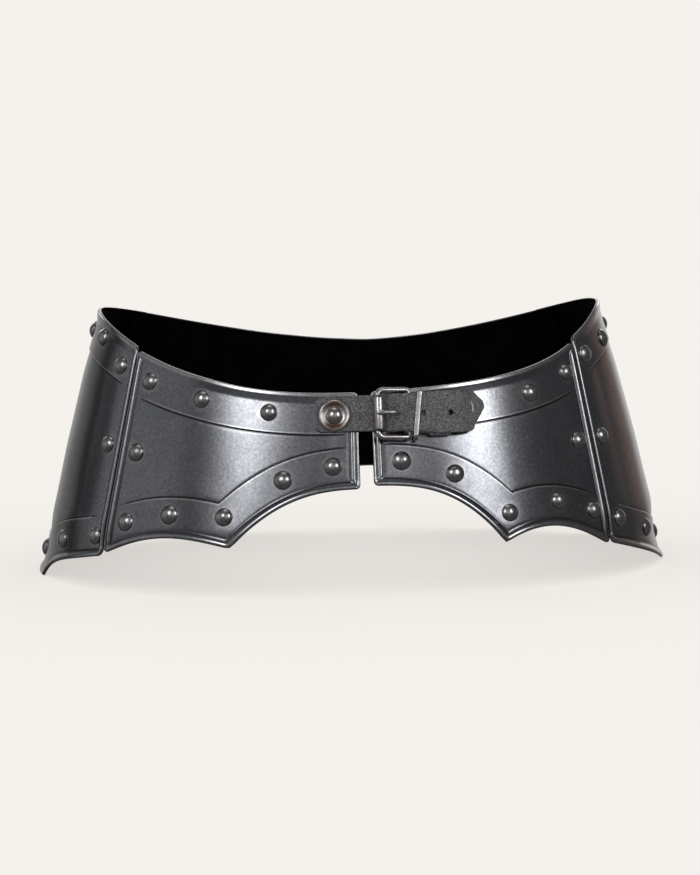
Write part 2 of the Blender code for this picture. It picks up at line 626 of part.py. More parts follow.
def build_ring():
    plates = make_plates()
    solids = {name: build_plate(plate, PLATE_SPACING) for name, plate in plates.items()}
    strips = {}
    for key, side in SIDES.items():
        sign = side["sign"]
        front, flank, back = plates[f"front_plate_{key}"], plates[f"side_plate_{key}"], plates["back_plate"]
        strips[f"front_plate_{key}"] = strips[f"side_plate_{key}"] = seam_leather(
            f"seam_leather_front_{key}", sign * side["seam"], (front, flank))
        rear = Plate("rear", back.start - (0.0 if sign > 0 else 360.0), back.end - (0.0 if sign > 0 else 360.0),
                     back.top_outline, back_bottom, ())
        seam_leather(f"seam_leather_back_{key}", sign * BACK_SEAM, (flank, rear), REAR_LEATHER_INSET)

    holes = {name: [] for name in solids}
    pierced = {}
    for name, plate, angle, height, seam in rivet_plan(plates):
        frame = rivet_frame(plate, angle, height)
        grip = SEAM_LEATHER_DEPTH + SEAM_LEATHER + 4.0 * GAP if seam else WALL + 2.0 * GAP
        rivet(name, frame, grip)
        holes[plate.name].append(frame)
        if seam:
            pierced.setdefault(strips[plate.name].name, []).append(frame)
    holes["front_plate_left"].append(front_frame(STRAP_RIVET_PLACE, STRAP_MIDDLE))
    holes["front_plate_right"].append(front_frame(CHAPE_RIVET_PLACE, STRAP_MIDDLE))

    domes = {}
    for plate, angle, height in fused_rivets(plates):
        domes.setdefault(plate.name, []).append(rivet_frame(plate, angle, height, reach=0.0))
    for name, frames in domes.items():
        bm = bmesh.new()
        for frame in frames:
            turned(bm, [(0.0, RIVET_RISE), (0.72 * RIVET_RADIUS, 0.70 * RIVET_RISE), (RIVET_RADIUS, 0.0),
                        (RIVET_RADIUS, -WALL / 2), (0.0, -WALL / 2)], FUSED_SIDES, frame)
        boolean(solids[name], to_object(f"{name} rivets", bm, "steel", STEEL), "UNION")
    for name, frames in holes.items():
        if frames:
            boolean(solids[name], cylinders(f"{name} holes", frames, HOLE_RADIUS, -0.004, 0.002), "DIFFERENCE")
    for strip, frames in pierced.items():
        boolean(bpy.data.objects[strip], cylinders(f"{strip} holes", frames, HOLE_RADIUS, -0.008, -0.002),
                "DIFFERENCE")


# ---------------------------------------------------------------- strap and buckle
def strap_height(x):
    """Height of the strap's back off the plate."""
    return float(np.interp(x, [s[0] for s in STRAP_STATIONS], [s[3] for s in STRAP_STATIONS]))


def build_strap():
    bm = bmesh.new()
    rings = []
    for x, low, high, out in STRAP_STATIONS:
        corners = ((low, out), (high, out), (high, out + STRAP), (low, out + STRAP))
        rings.append([bm.verts.new(front_place(x, height, off)) for height, off in corners])
    for before, after in zip(rings, rings[1:]):
        for k in range(4):
            bm.faces.new((before[k], before[(k + 1) % 4], after[(k + 1) % 4], after[k]))
    bm.faces.new(rings[0])
    bm.faces.new(rings[-1])
    strap = to_object("strap", bm, "leather", LEATHER)
    frames = [front_frame(PRONG_HOLE + HOLE_SPACING * k, STRAP_MIDDLE, strap_height(PRONG_HOLE + HOLE_SPACING * k))
              for k in (1, 2)]
    holes = cylinders("strap holes", frames, STRAP_HOLE_RADIUS, -0.002, 0.004, sides=8)
    boolean(strap, holes, "DIFFERENCE")
    rivet_hole = cylinders("strap rivet hole", [front_frame(STRAP_RIVET_PLACE, STRAP_MIDDLE)], HOLE_RADIUS,
                           -0.002, 0.006)
    boolean(strap, rivet_hole, "DIFFERENCE")
    length, width = PRONG_SLOT
    outline = [(PRONG_HOLE - length / 2, 0.0), (PRONG_HOLE + length / 2, 0.0),
               (PRONG_HOLE + length / 2, 0.012), (PRONG_HOLE - length / 2, 0.012)]
    slot = prism("strap slot", outline, lambda x: STRAP_MIDDLE - width / 2, STRAP_MIDDLE + width / 2, "leather",
                 LEATHER)
    boolean(strap, slot, "DIFFERENCE")

    head = strap_height(STRAP_RIVET_PLACE) + STRAP + GAP
    frame = front_frame(STRAP_RIVET_PLACE, STRAP_MIDDLE)
    bm = bmesh.new()
    turned(bm, [(r, head + h) for r, h in WASHER_SECTION], 16, frame, closed=True)
    to_object("strap_washer", bm, "nickel", NICKEL)
    seat = head + WASHER_SECTION[-1][1] + GAP
    burr = -WALL - GAP
    bm = bmesh.new()
    turned(bm, [(0.0, seat + 0.0033), (0.0036, seat + 0.0025), (0.0055, seat + 0.0008), (0.0055, seat),
                (SHANK_RADIUS, seat), (SHANK_RADIUS, burr), (BURR_RADIUS, burr), (0.0, burr - BURR_HEIGHT)],
           12, frame)
    to_object("strap_rivet", bm, "rivet steel", RIVET_STEEL, crease=60.0)


def buckle_point(x, along, out):
    return front_place(x, STRAP_MIDDLE + along, out)


def build_buckle():
    (end_x, end_out), (hinge_x, hinge_out) = END_BAR, HINGE_BAR

    def frame_out(x):
        return end_out + (hinge_out - end_out) * (x - end_x) / (hinge_x - end_x)

    path, radii = [], []
    corners = ((end_x, -1, 180.0), (hinge_x, -1, 270.0), (hinge_x, 1, 0.0), (end_x, 1, 90.0))
    for x, vertical, start in corners:
        corner = FRAME_CORNERS["end" if x == end_x else "hinge"]
        centre_x = x + corner if x == end_x else x - corner
        centre_z = vertical * (FRAME_HALF_HEIGHT - corner)
        for step in range(4):
            turn = math.radians(start + 30.0 * step)
            across = centre_x + corner * math.cos(turn)
            path.append(buckle_point(across, centre_z + corner * math.sin(turn), frame_out(across)))
            inner_bar = abs(across - end_x) < 1e-6
            radii.append(END_BAR_RADIUS if inner_bar else WIRE_RADIUS)
    tube("buckle_frame", path, radii, "nickel", NICKEL, closed=True)

    normal = square_to_ring(front_turn(ROLLER_PLACE, STRAP_MIDDLE), STRAP_MIDDLE)
    across = Vector((0.0, 0.0, 1.0)).cross(normal).normalized()
    up = normal.cross(across)
    roller_frame = frame_at(buckle_point(ROLLER_PLACE, 0.0, end_out), normal, across, up)
    half = ROLLER_HALF_LENGTH
    bm = bmesh.new()
    turned(bm, [(ROLLER_BORE, -half), (ROLLER_RADIUS, -half), (ROLLER_RADIUS, half), (ROLLER_BORE, half)],
           12, roller_frame, closed=True)
    to_object("buckle_roller", bm, "nickel", NICKEL)

    loop = [(hinge_x + PRONG_LOOP * math.cos(math.radians(a)), hinge_out + PRONG_LOOP * math.sin(math.radians(a)))
            for a in (225.0, 262.0, 300.0, 338.0, 16.0, 54.0, 92.0, 126.0)]
    points = loop + list(PRONG_PATH)
    path = [buckle_point(x, 0.0, out) for x, out in points]
    radii = [PRONG_RADIUS * 0.85] * len(loop) + [PRONG_RADIUS] * (len(PRONG_PATH) - 1) + [PRONG_RADIUS * 0.7]
    tube("buckle_prong", path, radii, "nickel", NICKEL)

    turns = [math.radians(a) for a in (270.0, 234.0, 198.0, 162.0, 126.0, 90.0)]
    inside = CHAPE_FOLD - CHAPE
    outline = [(hinge_x + CHAPE_FOLD * math.cos(t), hinge_out + CHAPE_FOLD * math.sin(t)) for t in turns]
    outline += [(CHAPE_MERGE[0], hinge_out + CHAPE_FOLD), (CHAPE_MERGE[1], hinge_out),
                (CHAPE_END, hinge_out), (CHAPE_END, hinge_out - CHAPE_FOLD)]
    outline += [(CHAPE_MERGE[0], hinge_out - CHAPE_FOLD)]
    hollow = [(hinge_x + inside * math.cos(t), hinge_out + inside * math.sin(t)) for t in turns]
    hollow += [(CHAPE_MERGE[0] - 0.0006, hinge_out + inside), (CHAPE_MERGE[0] + 0.0010, hinge_out - inside)]
    def lower_edge(x):
        return CHAPE_NARROW + (CHAPE_LOW - CHAPE_NARROW) * blend(x, *CHAPE_MERGE)

    chape = prism("buckle_chape", outline, lower_edge, CHAPE_HIGH, "leather", LEATHER)
    cavity = prism("chape hollow", hollow, lambda x: CHAPE_LOW - 0.01, CHAPE_HIGH + 0.01, "leather", LEATHER)
    boolean(chape, cavity, "DIFFERENCE")
    low, high, half = CHAPE_SLOT
    slot = prism("chape slot", [(low, -0.002), (high, -0.002), (high, 0.009), (low, 0.009)],
                 lambda x: STRAP_MIDDLE - half, STRAP_MIDDLE + half, "leather", LEATHER)
    boolean(chape, slot, "DIFFERENCE")
    frame = front_frame(CHAPE_RIVET_PLACE, STRAP_MIDDLE)
    boolean(chape, cylinders("chape rivet hole", [frame], HOLE_RADIUS, -0.002, 0.008), "DIFFERENCE")
    head, burr = hinge_out + GAP, -WALL - GAP
    bm = bmesh.new()
    turned(bm, [(0.0, head + 0.0009), (0.0034, head + 0.0007), (0.0036, head), (SHANK_RADIUS, head),
                (SHANK_RADIUS, burr), (BURR_RADIUS, burr), (0.0, burr - BURR_HEIGHT)], RIVET_SIDES, frame)
    to_object("chape_rivet", bm, "rivet steel", RIVET_STEEL, crease=60.0)

    build_keeper()


def build_keeper():
    """Flat band round the strap and the chape, a rounded rectangle that leans across."""
    (top_x, top_out), (foot_x, foot_out) = KEEPER_TOP, KEEPER_FOOT
    low, high = KEEPER_RANGE[0] - KEEPER_THICKNESS / 2, KEEPER_RANGE[1] + KEEPER_THICKNESS / 2
    rings = []
    bm = bmesh.new()
    corners = ((high, top_out, 0.0), (low, top_out, 90.0), (low, foot_out, 180.0), (high, foot_out, 270.0))
    for level, out, start in corners:
        centre_z = level + KEEPER_CORNER * (-1 if level == high else 1)
        centre_out = out + KEEPER_CORNER * (-1 if out == top_out else 1)
        for step in range(4):
            turn = math.radians(start + 30.0 * step)
            ring = []
            for radius, across in ((-1, -1), (-1, 1), (1, 1), (1, -1)):
                reach = KEEPER_CORNER + radius * KEEPER_THICKNESS / 2
                height = centre_z + reach * math.cos(turn)
                off = centre_out + reach * math.sin(turn)
                share = (off - foot_out) / (top_out - foot_out)
                x = foot_x + (top_x - foot_x) * share + KEEPER_SLANT * (height - STRAP_MIDDLE)
                ring.append(bm.verts.new(front_place(x + across * KEEPER_WIDTH / 2, height, off)))
            rings.append(ring)
    for before, after in zip(rings, rings[1:] + rings[:1]):
        for k in range(4):
            bm.faces.new((before[k], before[(k + 1) % 4], after[(k + 1) % 4], after[k]))
    to_object("keeper_loop", bm, "nickel", NICKEL)


clear_scene()
build_ring()
build_strap()
build_buckle()
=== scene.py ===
"""Looks of the hip armour: five flared plates of dark polished steel with domed rivets, and the leather strap
and roller buckle that close it in front.

Metres, +Z up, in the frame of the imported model: the front faces -Y.  A place on a plate is given by its angle
round the ring (degrees, 0 at the front, positive towards +X), its height, and its distance out from the face.
"""
import math

import bmesh
import bpy
import numpy as np
from mathutils import Matrix, Vector


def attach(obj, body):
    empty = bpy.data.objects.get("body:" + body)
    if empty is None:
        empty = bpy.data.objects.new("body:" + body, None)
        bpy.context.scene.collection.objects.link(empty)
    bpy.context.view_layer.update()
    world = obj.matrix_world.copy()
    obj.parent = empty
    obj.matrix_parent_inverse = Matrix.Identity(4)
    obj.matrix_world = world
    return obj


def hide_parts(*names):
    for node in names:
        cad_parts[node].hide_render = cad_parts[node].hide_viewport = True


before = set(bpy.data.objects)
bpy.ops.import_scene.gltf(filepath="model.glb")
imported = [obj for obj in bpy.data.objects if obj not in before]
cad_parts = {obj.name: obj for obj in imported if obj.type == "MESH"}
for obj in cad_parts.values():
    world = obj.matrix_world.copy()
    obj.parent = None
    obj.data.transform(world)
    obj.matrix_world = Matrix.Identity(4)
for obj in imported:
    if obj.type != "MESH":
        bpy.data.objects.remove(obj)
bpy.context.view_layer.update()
MM = 0.001


def mm(*points):
    """A table given in millimetres, in metres."""
    return tuple(tuple(value / 1000.0 for value in point) for point in points)


# ---- measures shared with the solids
# The ring: a rounded oval that leans in as it rises.
HALF_WIDTH, HALF_DEPTH = 0.2064, 0.1619
LEAN = 0.2564                          # inward, for each unit of height
OVAL_POWER = 2.2
RING_SHIFT = -0.0033
# The foot is drawn in, and at the right flank a little more.
TUCK, TUCK_RIGHT, TUCK_HEIGHTS = 0.0026, 0.0022, (0.016, 0.042)
SKEW = 5.5                             # degrees by which the back's middle is turned
# The flanks swell out a little: by how much, the share of it at the foot, between which turns, and the
# heights between which it grows to the whole and dies out.
SWELL, SWELL_LOW, SWELL_TURNS = 0.0019, 0.55, (60.0, 84.0)
SWELL_FOOT, SWELL_TOP = (0.045, 0.085), (0.125, 0.162)

# Heights of the plates' edges.
FRONT_TOP = 0.1236
FRONT_DROP = 0.0005                    # of the front plates' top below the ring of tops
FRONT_RISE, FRONT_RISE_POWER = 0.0440, 2.4
SIDE_RISE = 0.04638
BACK_TOP, BACK_RISE_POWER, BACK_DROP = 0.1374, 1.5, 0.0002
POINT_BLUNT, POINT_BLUNT_TURN = 0.0008, 0.5    # how much a point is worn off, and over how many degrees
SIDE_FOOT_END, SIDE_FLAT_END, SIDE_HEEL, HOOK_POWER = 81.0, 114.0, 0.0080, 6.0
BACK_ARCH_TOP, BACK_ARCH_POWER = 0.0455, 2.2
BACK_POINT_ANGLE, BACK_POINT_HEIGHT = 24.0, 0.0110
BACK_SEAM_FOOT, BACK_SCALLOP = 0.0095, 0.0085
BORDER, STEP, CORNER, SEAM_CORNER, REAR_CORNER = 0.025, 0.0010, 0.0028, 0.0040, 0.0004

# Seams and the gap, in degrees.  An arch is its top, power, point height and point turn; a scallop its height
# and power; a flank its fall, hook and lift; a hitch its height, reach in degrees and number of half waves.
GAP_HALF, SEAM_CLEARANCE, BACK_SEAM = 0.86, 0.07, 128.0
SLANT_HEIGHT, SLANT_REACH = 0.0815, 26.0
SIDES = {
    "left": {
        "sign": -1, "seam": 53.5, "slant": -2.0, "arch": (0.0647, 2.42, 0.02935, 23.3), "foot": 0.0222,
        "scallop": (0.0087, 0.98), "flank": (0.0116, 0.0096, 0.0), "hitch": (-0.0006, 32.0, 1.0),
        "front_top": ((17.2, 0.0131), (32.4, 0.0128)),
        "front_bottom": ((5.1, 0.0148), (13.9, 0.0147), (24.8, 0.0164), (36.7, 0.0143)),
        "side_top": ((72.7, 0.0096), (91.5, 0.0136)), "side_bottom": ((71.3, 0.0134), (90.5, 0.0145)),
        "front_seam": ((5.9, 0.0136), (5.3, 0.0858), (5.8, 0.0140)),
        "side_seam": ((6.0, 0.0162), (4.9, 0.0894), (3.3, 0.0128)),
    },
    "right": {
        "sign": 1, "seam": 50.9, "slant": 17.5, "arch": (0.0665, 2.80, 0.0284, 23.5), "foot": 0.0205,
        "scallop": (0.0115, 0.83), "flank": (0.0215, 0.0, 0.0006), "hitch": (0.0012, 27.0, 1.85),
        "front_top": ((17.2, 0.0155), (34.4, 0.0149)),
        "front_bottom": ((5.4, 0.0152), (14.9, 0.0145), (24.9, 0.0145), (37.0, 0.0155)),
        "side_top": ((70.6, 0.0176), (90.0, 0.0163)), "side_bottom": ((68.9, 0.0153), (89.0, 0.0145)),
        "front_seam": ((4.5, 0.0133), (4.7, 0.0867), (4.2, 0.0156)),
        "side_seam": ((4.9, 0.0141), (4.5, 0.0877), (4.5, 0.0164)),
    },
}

# Rivets.
RIVET_INSET, RIVET_RADIUS, RIVET_RISE = 0.0145, 0.0056, 0.0030
SHANK_RADIUS, BURR_RADIUS, BURR_HEIGHT = 0.0015, 0.0030, 0.0009
BACK_MIDDLE_RIVETS, BACK_SEAM_RIVET = 0.0860, 122.5
SIDE_REAR_TOP_RIVETS, SIDE_REAR_BOTTOM_RIVETS = (106.5, 122.0), (108.0, 123.0)
BACK_RIVETS = {"top": (9.5, 28.0, 46.5), "middle": (46.5,), "bottom": (6.5, 18.5, 32.5, 46.5)}
REAR_INSETS = {"top": RIVET_INSET, "middle": BACK_MIDDLE_RIVETS, "bottom": RIVET_INSET}
LEATHER_GRIP, SHEET_GRIP = 0.0059, 0.0020    # how deep a rivet reaches at a seam and elsewhere

# ---- finer measures of the sheet
WALL = 0.0014
RIM, SIDE_RIM = 0.0022, 0.0015         # thickness of the rolled rim, along an edge and along a seam
STEP_RUN = 0.0007
EDGE_RADII = (0.00045, 0.0011)         # of the rims' corners, along the top and along the bottom
STEP_FADE, GAP_FADE = (0.006, 0.030), (0.006, 0.022)
SCRIBE, SCRIBE_HALF = 0.00012, 0.0007  # groove along the foot of the step
# Sections across an edge: distance from the edge, and how far the face stands out there.
SECTION_BLUR = 0.00025
ROUND_FADE = (0.003, 0.012)            # how far in from an edge its rounded corners still show
TOP_LIP = mm((0.0, 0.9), (2.0, 1.0), (2.6, 0.8), (6.3, 0.0))
FRONT_LIP = mm((0.0, 0.4), (0.5, 1.0), (1.2, 1.4), (2.0, 1.45), (2.7, 1.25), (3.4, 0.8), (4.2, 0.2),
               (4.8, 0.0), (5.4, -0.15), (6.3, 0.0))
SIDE_LIP = mm((0.0, 1.0), (0.6, 1.6), (1.4, 1.8), (2.2, 1.7), (3.0, 1.2), (3.8, 0.4), (4.5, 0.0),
              (5.1, -0.15), (6.1, 0.0))
GAP_BEAD = mm((0.0, 0.2), (0.6, 0.7), (1.4, 0.7), (2.1, 0.1), (2.6, 0.1), (3.3, 0.6), (5.0, 0.6),
              (5.8, -0.2), (6.6, -0.2), (7.4, 0.0))
FRONT_BEAD = mm((0.0, 0.2), (0.8, 0.5), (1.8, 0.3), (2.6, 0.8), (3.4, 1.5), (4.2, 1.4), (4.9, 0.8),
                (5.5, 0.0), (6.3, -0.2), (7.6, 0.0))
SIDE_BEAD = mm((0.0, 0.4), (0.7, 1.1), (1.5, 1.4), (2.2, 1.2), (3.1, 0.2), (3.8, -0.2), (4.8, -0.2),
               (6.0, 0.0))
# Rows and columns of the sheet's mesh, by millimetres from an edge.
EDGE_ROWS = (0, 0.03, 0.1, 0.22, 0.38, 0.56, 0.76, 0.98, 1.2, 1.45, 1.7, 2.0, 2.3, 2.7, 3.1, 3.5, 3.9, 4.3,
             4.7, 5.1, 5.5, 5.9, 6.4, 7.0, 7.6, 8.3)
BORDER_ROWS = (9.4, 10.6, 11.8, 13.0, 14.2, 15.4, 16.6, 18.0, 19.5, 21.0, 22.4, 23.4, 24.1, 24.45, 24.65,
               24.8, 24.95, 25.1, 25.3, 25.5, 25.8, 26.3)
EDGE_COLUMNS = (0, 0.03, 0.1, 0.22, 0.38, 0.56, 0.76, 1.0, 1.25, 1.5, 1.75, 2.0, 2.25, 2.5, 2.75, 3.0, 3.25,
                3.5, 3.75, 4.0, 4.25, 4.5, 4.75, 5.0, 5.25, 5.5, 5.8, 6.2, 6.8, 7.6)
FIELD_ROWS = 22
COLUMN_SPACING = 0.0014
RELIEF_REACH, RELIEF_FULL = 0.0009, 0.0004    # span over which a ridge or crease is told, its full height
TOP_WEAR_AND_HIGHLIGHT, TOP_WEAR_AND_HIGHLIGHT_REACH = 0.7, 0.0018    # the top edge is painted bright, partly as wear and partly as a painted highlight: how much, and how far down
SCUFF_AWAY, SCUFF_WIDTH = 0.0006, 0.0013      # pale ring round a rivet: beyond its edge, and how wide
DENT_DEPTH, DENT_EDGE = 0.00009, (0.002, 0.012)    # of the sheet's unevenness, and where it sets in
INSIDE_FROM = 0.0009                   # the inside, blackened and darkened further as painted shade, starts this far from an edge
AT_GAP = 0.02                          # near the gap, the beads are its own


# ---- the ring's surface
def smooth(value, start, end):
    """0 at start, 1 at end, smooth between and level outside."""
    share = np.clip((value - start) / (end - start), 0.0, 1.0)
    return share * share * (3.0 - 2.0 * share)


def section(profile, distance):
    """Height of a profile at a distance, its corners a little rounded."""
    distances, heights = zip(*profile)
    shifts = np.linspace(-1.5, 1.5, 7) * SECTION_BLUR
    return sum(np.interp(distance + shift, distances, heights) for shift in shifts) / len(shifts)


def signed_power(value, power):
    return np.sign(value) * np.abs(value) ** power


def slanted(angle, height):
    """The front seams lean a little, so near them an angle drifts with height."""
    angle = np.asarray(angle, float)
    right = angle > 0
    seam = np.where(right, SIDES["right"]["seam"], SIDES["left"]["seam"])
    drift = np.where(right, SIDES["right"]["slant"], -SIDES["left"]["slant"])
    near = smooth(1.0 - np.abs(np.abs(angle) - seam) / SLANT_REACH, 0.0, 1.0)
    return angle + drift * (height - SLANT_HEIGHT) * near


def on_ring(turn, height):
    """Point on the ring's face at a true angle."""
    turn, height = np.broadcast_arrays(np.radians(turn), np.asarray(height, float))
    flank = smooth(np.abs(np.sin(turn)), *np.sin(np.radians(SWELL_TURNS)))
    tuck = TUCK + TUCK_RIGHT * flank * (turn > 0.0)
    inward = LEAN * height + tuck * (1.0 - smooth(height, *TUCK_HEIGHTS))
    power = 2.0 / OVAL_POWER
    grown = SWELL_LOW + (1.0 - SWELL_LOW) * smooth(height, *SWELL_FOOT)
    swollen = SWELL * grown * (1.0 - smooth(height, *SWELL_TOP)) * flank
    x = (HALF_WIDTH - inward) * signed_power(np.sin(turn), power) + np.sign(np.sin(turn)) * swollen
    y = RING_SHIFT - (HALF_DEPTH - inward) * signed_power(np.cos(turn), power)
    return np.stack((x, y, height), axis=-1)


def square_to_ring(turn, height):
    """Unit vector square to the ring's face, pointing out."""
    round_ring = on_ring(turn + 0.05, height) - on_ring(turn - 0.05, height)
    up_wall = on_ring(turn, height + 0.0002) - on_ring(turn, height - 0.0002)
    normal = np.cross(round_ring, up_wall)
    return normal / np.linalg.norm(normal, axis=-1, keepdims=True)


def place(angle, height, out=0.0, level=1.0):
    """Point off the ring; where level is 0 it stands out without rising."""
    turn = slanted(angle, height)
    offset = square_to_ring(turn, height) * np.asarray(out)[..., None]
    offset[..., 2] *= level
    return on_ring(turn, height) + offset


def front_turn(x, height):
    share = np.abs(x) / (HALF_WIDTH - LEAN * height)
    return np.sign(x) * np.degrees(np.arcsin(share ** (OVAL_POWER / 2.0)))


def front_place(x, height, out=0.0):
    """The same, by the distance across the front."""
    turn = front_turn(x, height)
    return on_ring(turn, height) + square_to_ring(turn, height) * np.asarray(out)[..., None]


TRACK_ANGLES = np.linspace(-135.0, 240.0, 3751)
TRACK_STEPS = np.linalg.norm(np.diff(on_ring(TRACK_ANGLES, SLANT_HEIGHT), axis=0), axis=1)
TRACK_LENGTHS = np.concatenate(([0.0], np.cumsum(TRACK_STEPS)))


def track(angle):
    """Distance along the ring at mid height."""
    return np.interp(angle, TRACK_ANGLES, TRACK_LENGTHS)


# ---- outlines of the plates
def top_height(angle, rise):
    turn = np.radians(angle + SKEW * (1.0 - np.cos(np.radians(angle))) / 2.0)
    across = np.abs(np.sin(turn))
    ahead = FRONT_TOP + rise * across ** FRONT_RISE_POWER
    peak = FRONT_TOP + rise
    behind = peak - (peak - BACK_TOP) * (1.0 - across ** BACK_RISE_POWER)
    return np.where(np.cos(turn) >= 0.0, ahead, behind)


def front_top(angle):
    """Beside the gap the right front plate stands a little higher than the left one."""
    hitches = []
    for side in (SIDES["left"], SIDES["right"]):
        high, reach, halves = side["hitch"]
        hitches.append(high * np.sin(math.pi * np.clip(np.abs(angle) / reach, 0.0, halves)))
    return top_height(angle, FRONT_RISE) - FRONT_DROP + np.where(angle < 0.0, *hitches)


def front_bottom(angle, side):
    turn = np.abs(angle)
    (arch_top, arch_power, point, point_turn), (scallop, scallop_power) = side["arch"], side["scallop"]
    arch = arch_top - (arch_top - point) * (turn / point_turn) ** arch_power
    share = np.clip((turn - point_turn) / (side["seam"] - point_turn), 0.0, 1.0)
    line = point + (side["foot"] - point) * share
    blunt = POINT_BLUNT * np.exp(-((turn - point_turn) / POINT_BLUNT_TURN) ** 2)
    beyond = line + scallop * np.sin(math.pi * share ** scallop_power)
    return blunt + np.where(turn <= point_turn, arch, beyond)


def side_bottom(angle, side):
    """A straight fall from the front seam to the foot, with a hook at its end on the left."""
    fall, hook, lift = side["flank"]
    turn = np.abs(angle)
    share = np.clip((SIDE_FOOT_END - turn) / (SIDE_FOOT_END - side["seam"]), 0.0, 1.4)
    heel = SIDE_HEEL * (np.clip(turn - SIDE_FLAT_END, 0.0, None) / (BACK_SEAM - SIDE_FLAT_END)) ** 2
    return lift + fall * share + hook * (1.0 - (1.0 - share) ** HOOK_POWER) + heel


def back_bottom(angle):
    """The back plate's lower edge, by the angle from its own middle."""
    turn = np.abs(angle % 360.0 - (180.0 - SKEW))
    arch = BACK_ARCH_TOP - (BACK_ARCH_TOP - BACK_POINT_HEIGHT) * (turn / BACK_POINT_ANGLE) ** BACK_ARCH_POWER
    share = np.clip((turn - BACK_POINT_ANGLE) / (180.0 - BACK_SEAM - BACK_POINT_ANGLE), 0.0, 1.0)
    line = BACK_POINT_HEIGHT + (BACK_SEAM_FOOT - BACK_POINT_HEIGHT) * share
    return np.where(turn <= BACK_POINT_ANGLE, arch, line + BACK_SCALLOP * np.sin(math.pi * share))


class Plate:
    """One plate between two angles, with its top and bottom outlines."""

    def __init__(self, name, start, end, top, bottom, points=(), gap_edges=(), rear_edges=(), lip=SIDE_LIP,
                 bead=SIDE_BEAD):
        self.name, self.start, self.end = name, start, end
        self.top_outline, self.bottom_outline = top, bottom
        self.corners = [REAR_CORNER if edge in rear_edges else CORNER if edge in gap_edges else SEAM_CORNER
                        for edge in (start, end)]
        self.points, self.gap_edges, self.lip, self.bead = points, gap_edges, lip, bead
        angles = np.concatenate((np.linspace(start - 9.0, start, 160)[:-1], np.linspace(start, end, 1401),
                                 np.linspace(end, end + 9.0, 160)[1:]))
        self.along = track(angles)
        self.tops, self.bottoms, self.cuts = top(angles), bottom(angles), self.rounding(angles)

    def edge_distance(self, angle):
        here = track(angle)
        return np.minimum(here - track(self.start), track(self.end) - here)

    def rounding(self, angle):
        """How much a rounded corner takes off the height of an edge."""
        corner = np.where(track(angle) - track(self.start) < track(self.end) - track(angle), *self.corners)
        inside = self.edge_distance(angle)
        reach = np.where(inside < 0.0, 0.0, np.clip(corner - inside, 0.0, corner))
        return corner - np.sqrt(corner ** 2 - reach ** 2)

    def inset(self, angle, distance, edge):
        """Heights of the line at a distance from the top or bottom edge; far in, its corners are square."""
        angle = np.atleast_1d(np.asarray(angle, float))
        offset = self.along[None, :] - track(angle)[:, None]
        near = np.abs(offset) <= distance
        reach = np.sqrt(np.clip(distance ** 2 - offset ** 2, 0.0, None))
        round_share = 1.0 - smooth(distance, *ROUND_FADE)
        here = round_share * self.rounding(angle) + distance
        reach = reach + round_share * self.cuts
        if edge == "top":
            nearest = np.where(near, self.tops[None, :] - reach, np.inf).min(axis=1)
            return np.minimum(self.top_outline(angle) - here, nearest)
        nearest = np.where(near, self.bottoms[None, :] + reach, -np.inf).max(axis=1)
        return np.maximum(self.bottom_outline(angle) + here, nearest)

    def level(self, angle, inset, row):
        """Height at an inset from the row's edge; a middle row gives its height itself."""
        return inset if row == "middle" else float(self.inset(angle, inset, row)[0])

    def columns(self):
        """Angles of the columns: close together by both ends, even between, with one at each point."""
        low, high = track(self.start), track(self.end)
        edge = np.array(EDGE_COLUMNS) * MM
        stops = sorted([low + edge[-1], high - edge[-1]] + [float(track(p)) for p in self.points])
        lengths = list(low + edge[:-1])
        for begin, finish in zip(stops, stops[1:]):
            count = max(1, round((finish - begin) / COLUMN_SPACING))
            lengths += list(np.linspace(begin, finish, count, endpoint=False))
        lengths += [stops[-1]] + list(high - edge[:-1][::-1])
        return np.interp(lengths, TRACK_LENGTHS, TRACK_ANGLES)

    def field_share(self, angle):
        """1 where the field lies below the border, 0 by an edge, where the step has died out."""
        here, share = track(angle), 1.0
        for edge in (self.start, self.end):
            fade = GAP_FADE if edge in self.gap_edges else STEP_FADE
            share = share * smooth(np.abs(here - track(edge)), *fade)
        return share

    def face(self, angle, from_top, from_bottom, shift=0.0):
        """How far the outer face stands off the ring, by the distances from the edges, all shifted."""
        from_side = self.edge_distance(angle) + shift
        from_top, from_bottom = from_top + shift, from_bottom + shift
        border = np.minimum(from_top, from_bottom)
        lip = section(TOP_LIP, from_top) + section(self.lip, from_bottom)
        bead = section(self.bead, from_side)
        for edge in self.gap_edges:
            at_gap = np.abs(track(angle) - track(edge)) < AT_GAP
            bead = np.where(at_gap, section(GAP_BEAD, from_side), bead)
        nearer = smooth(from_side - border, -0.0015, 0.0015)
        share = self.field_share(angle)
        sink = STEP * share * smooth(border, BORDER - STEP_RUN / 2, BORDER + STEP_RUN / 2)
        groove = SCRIBE * np.clip(1.0 - ((border - BORDER - STEP_RUN / 2) / SCRIBE_HALF) ** 2, 0.0, None)
        return lip * nearer + bead * (1.0 - nearer) - sink - groove * smooth(from_side, 0.005, 0.012)


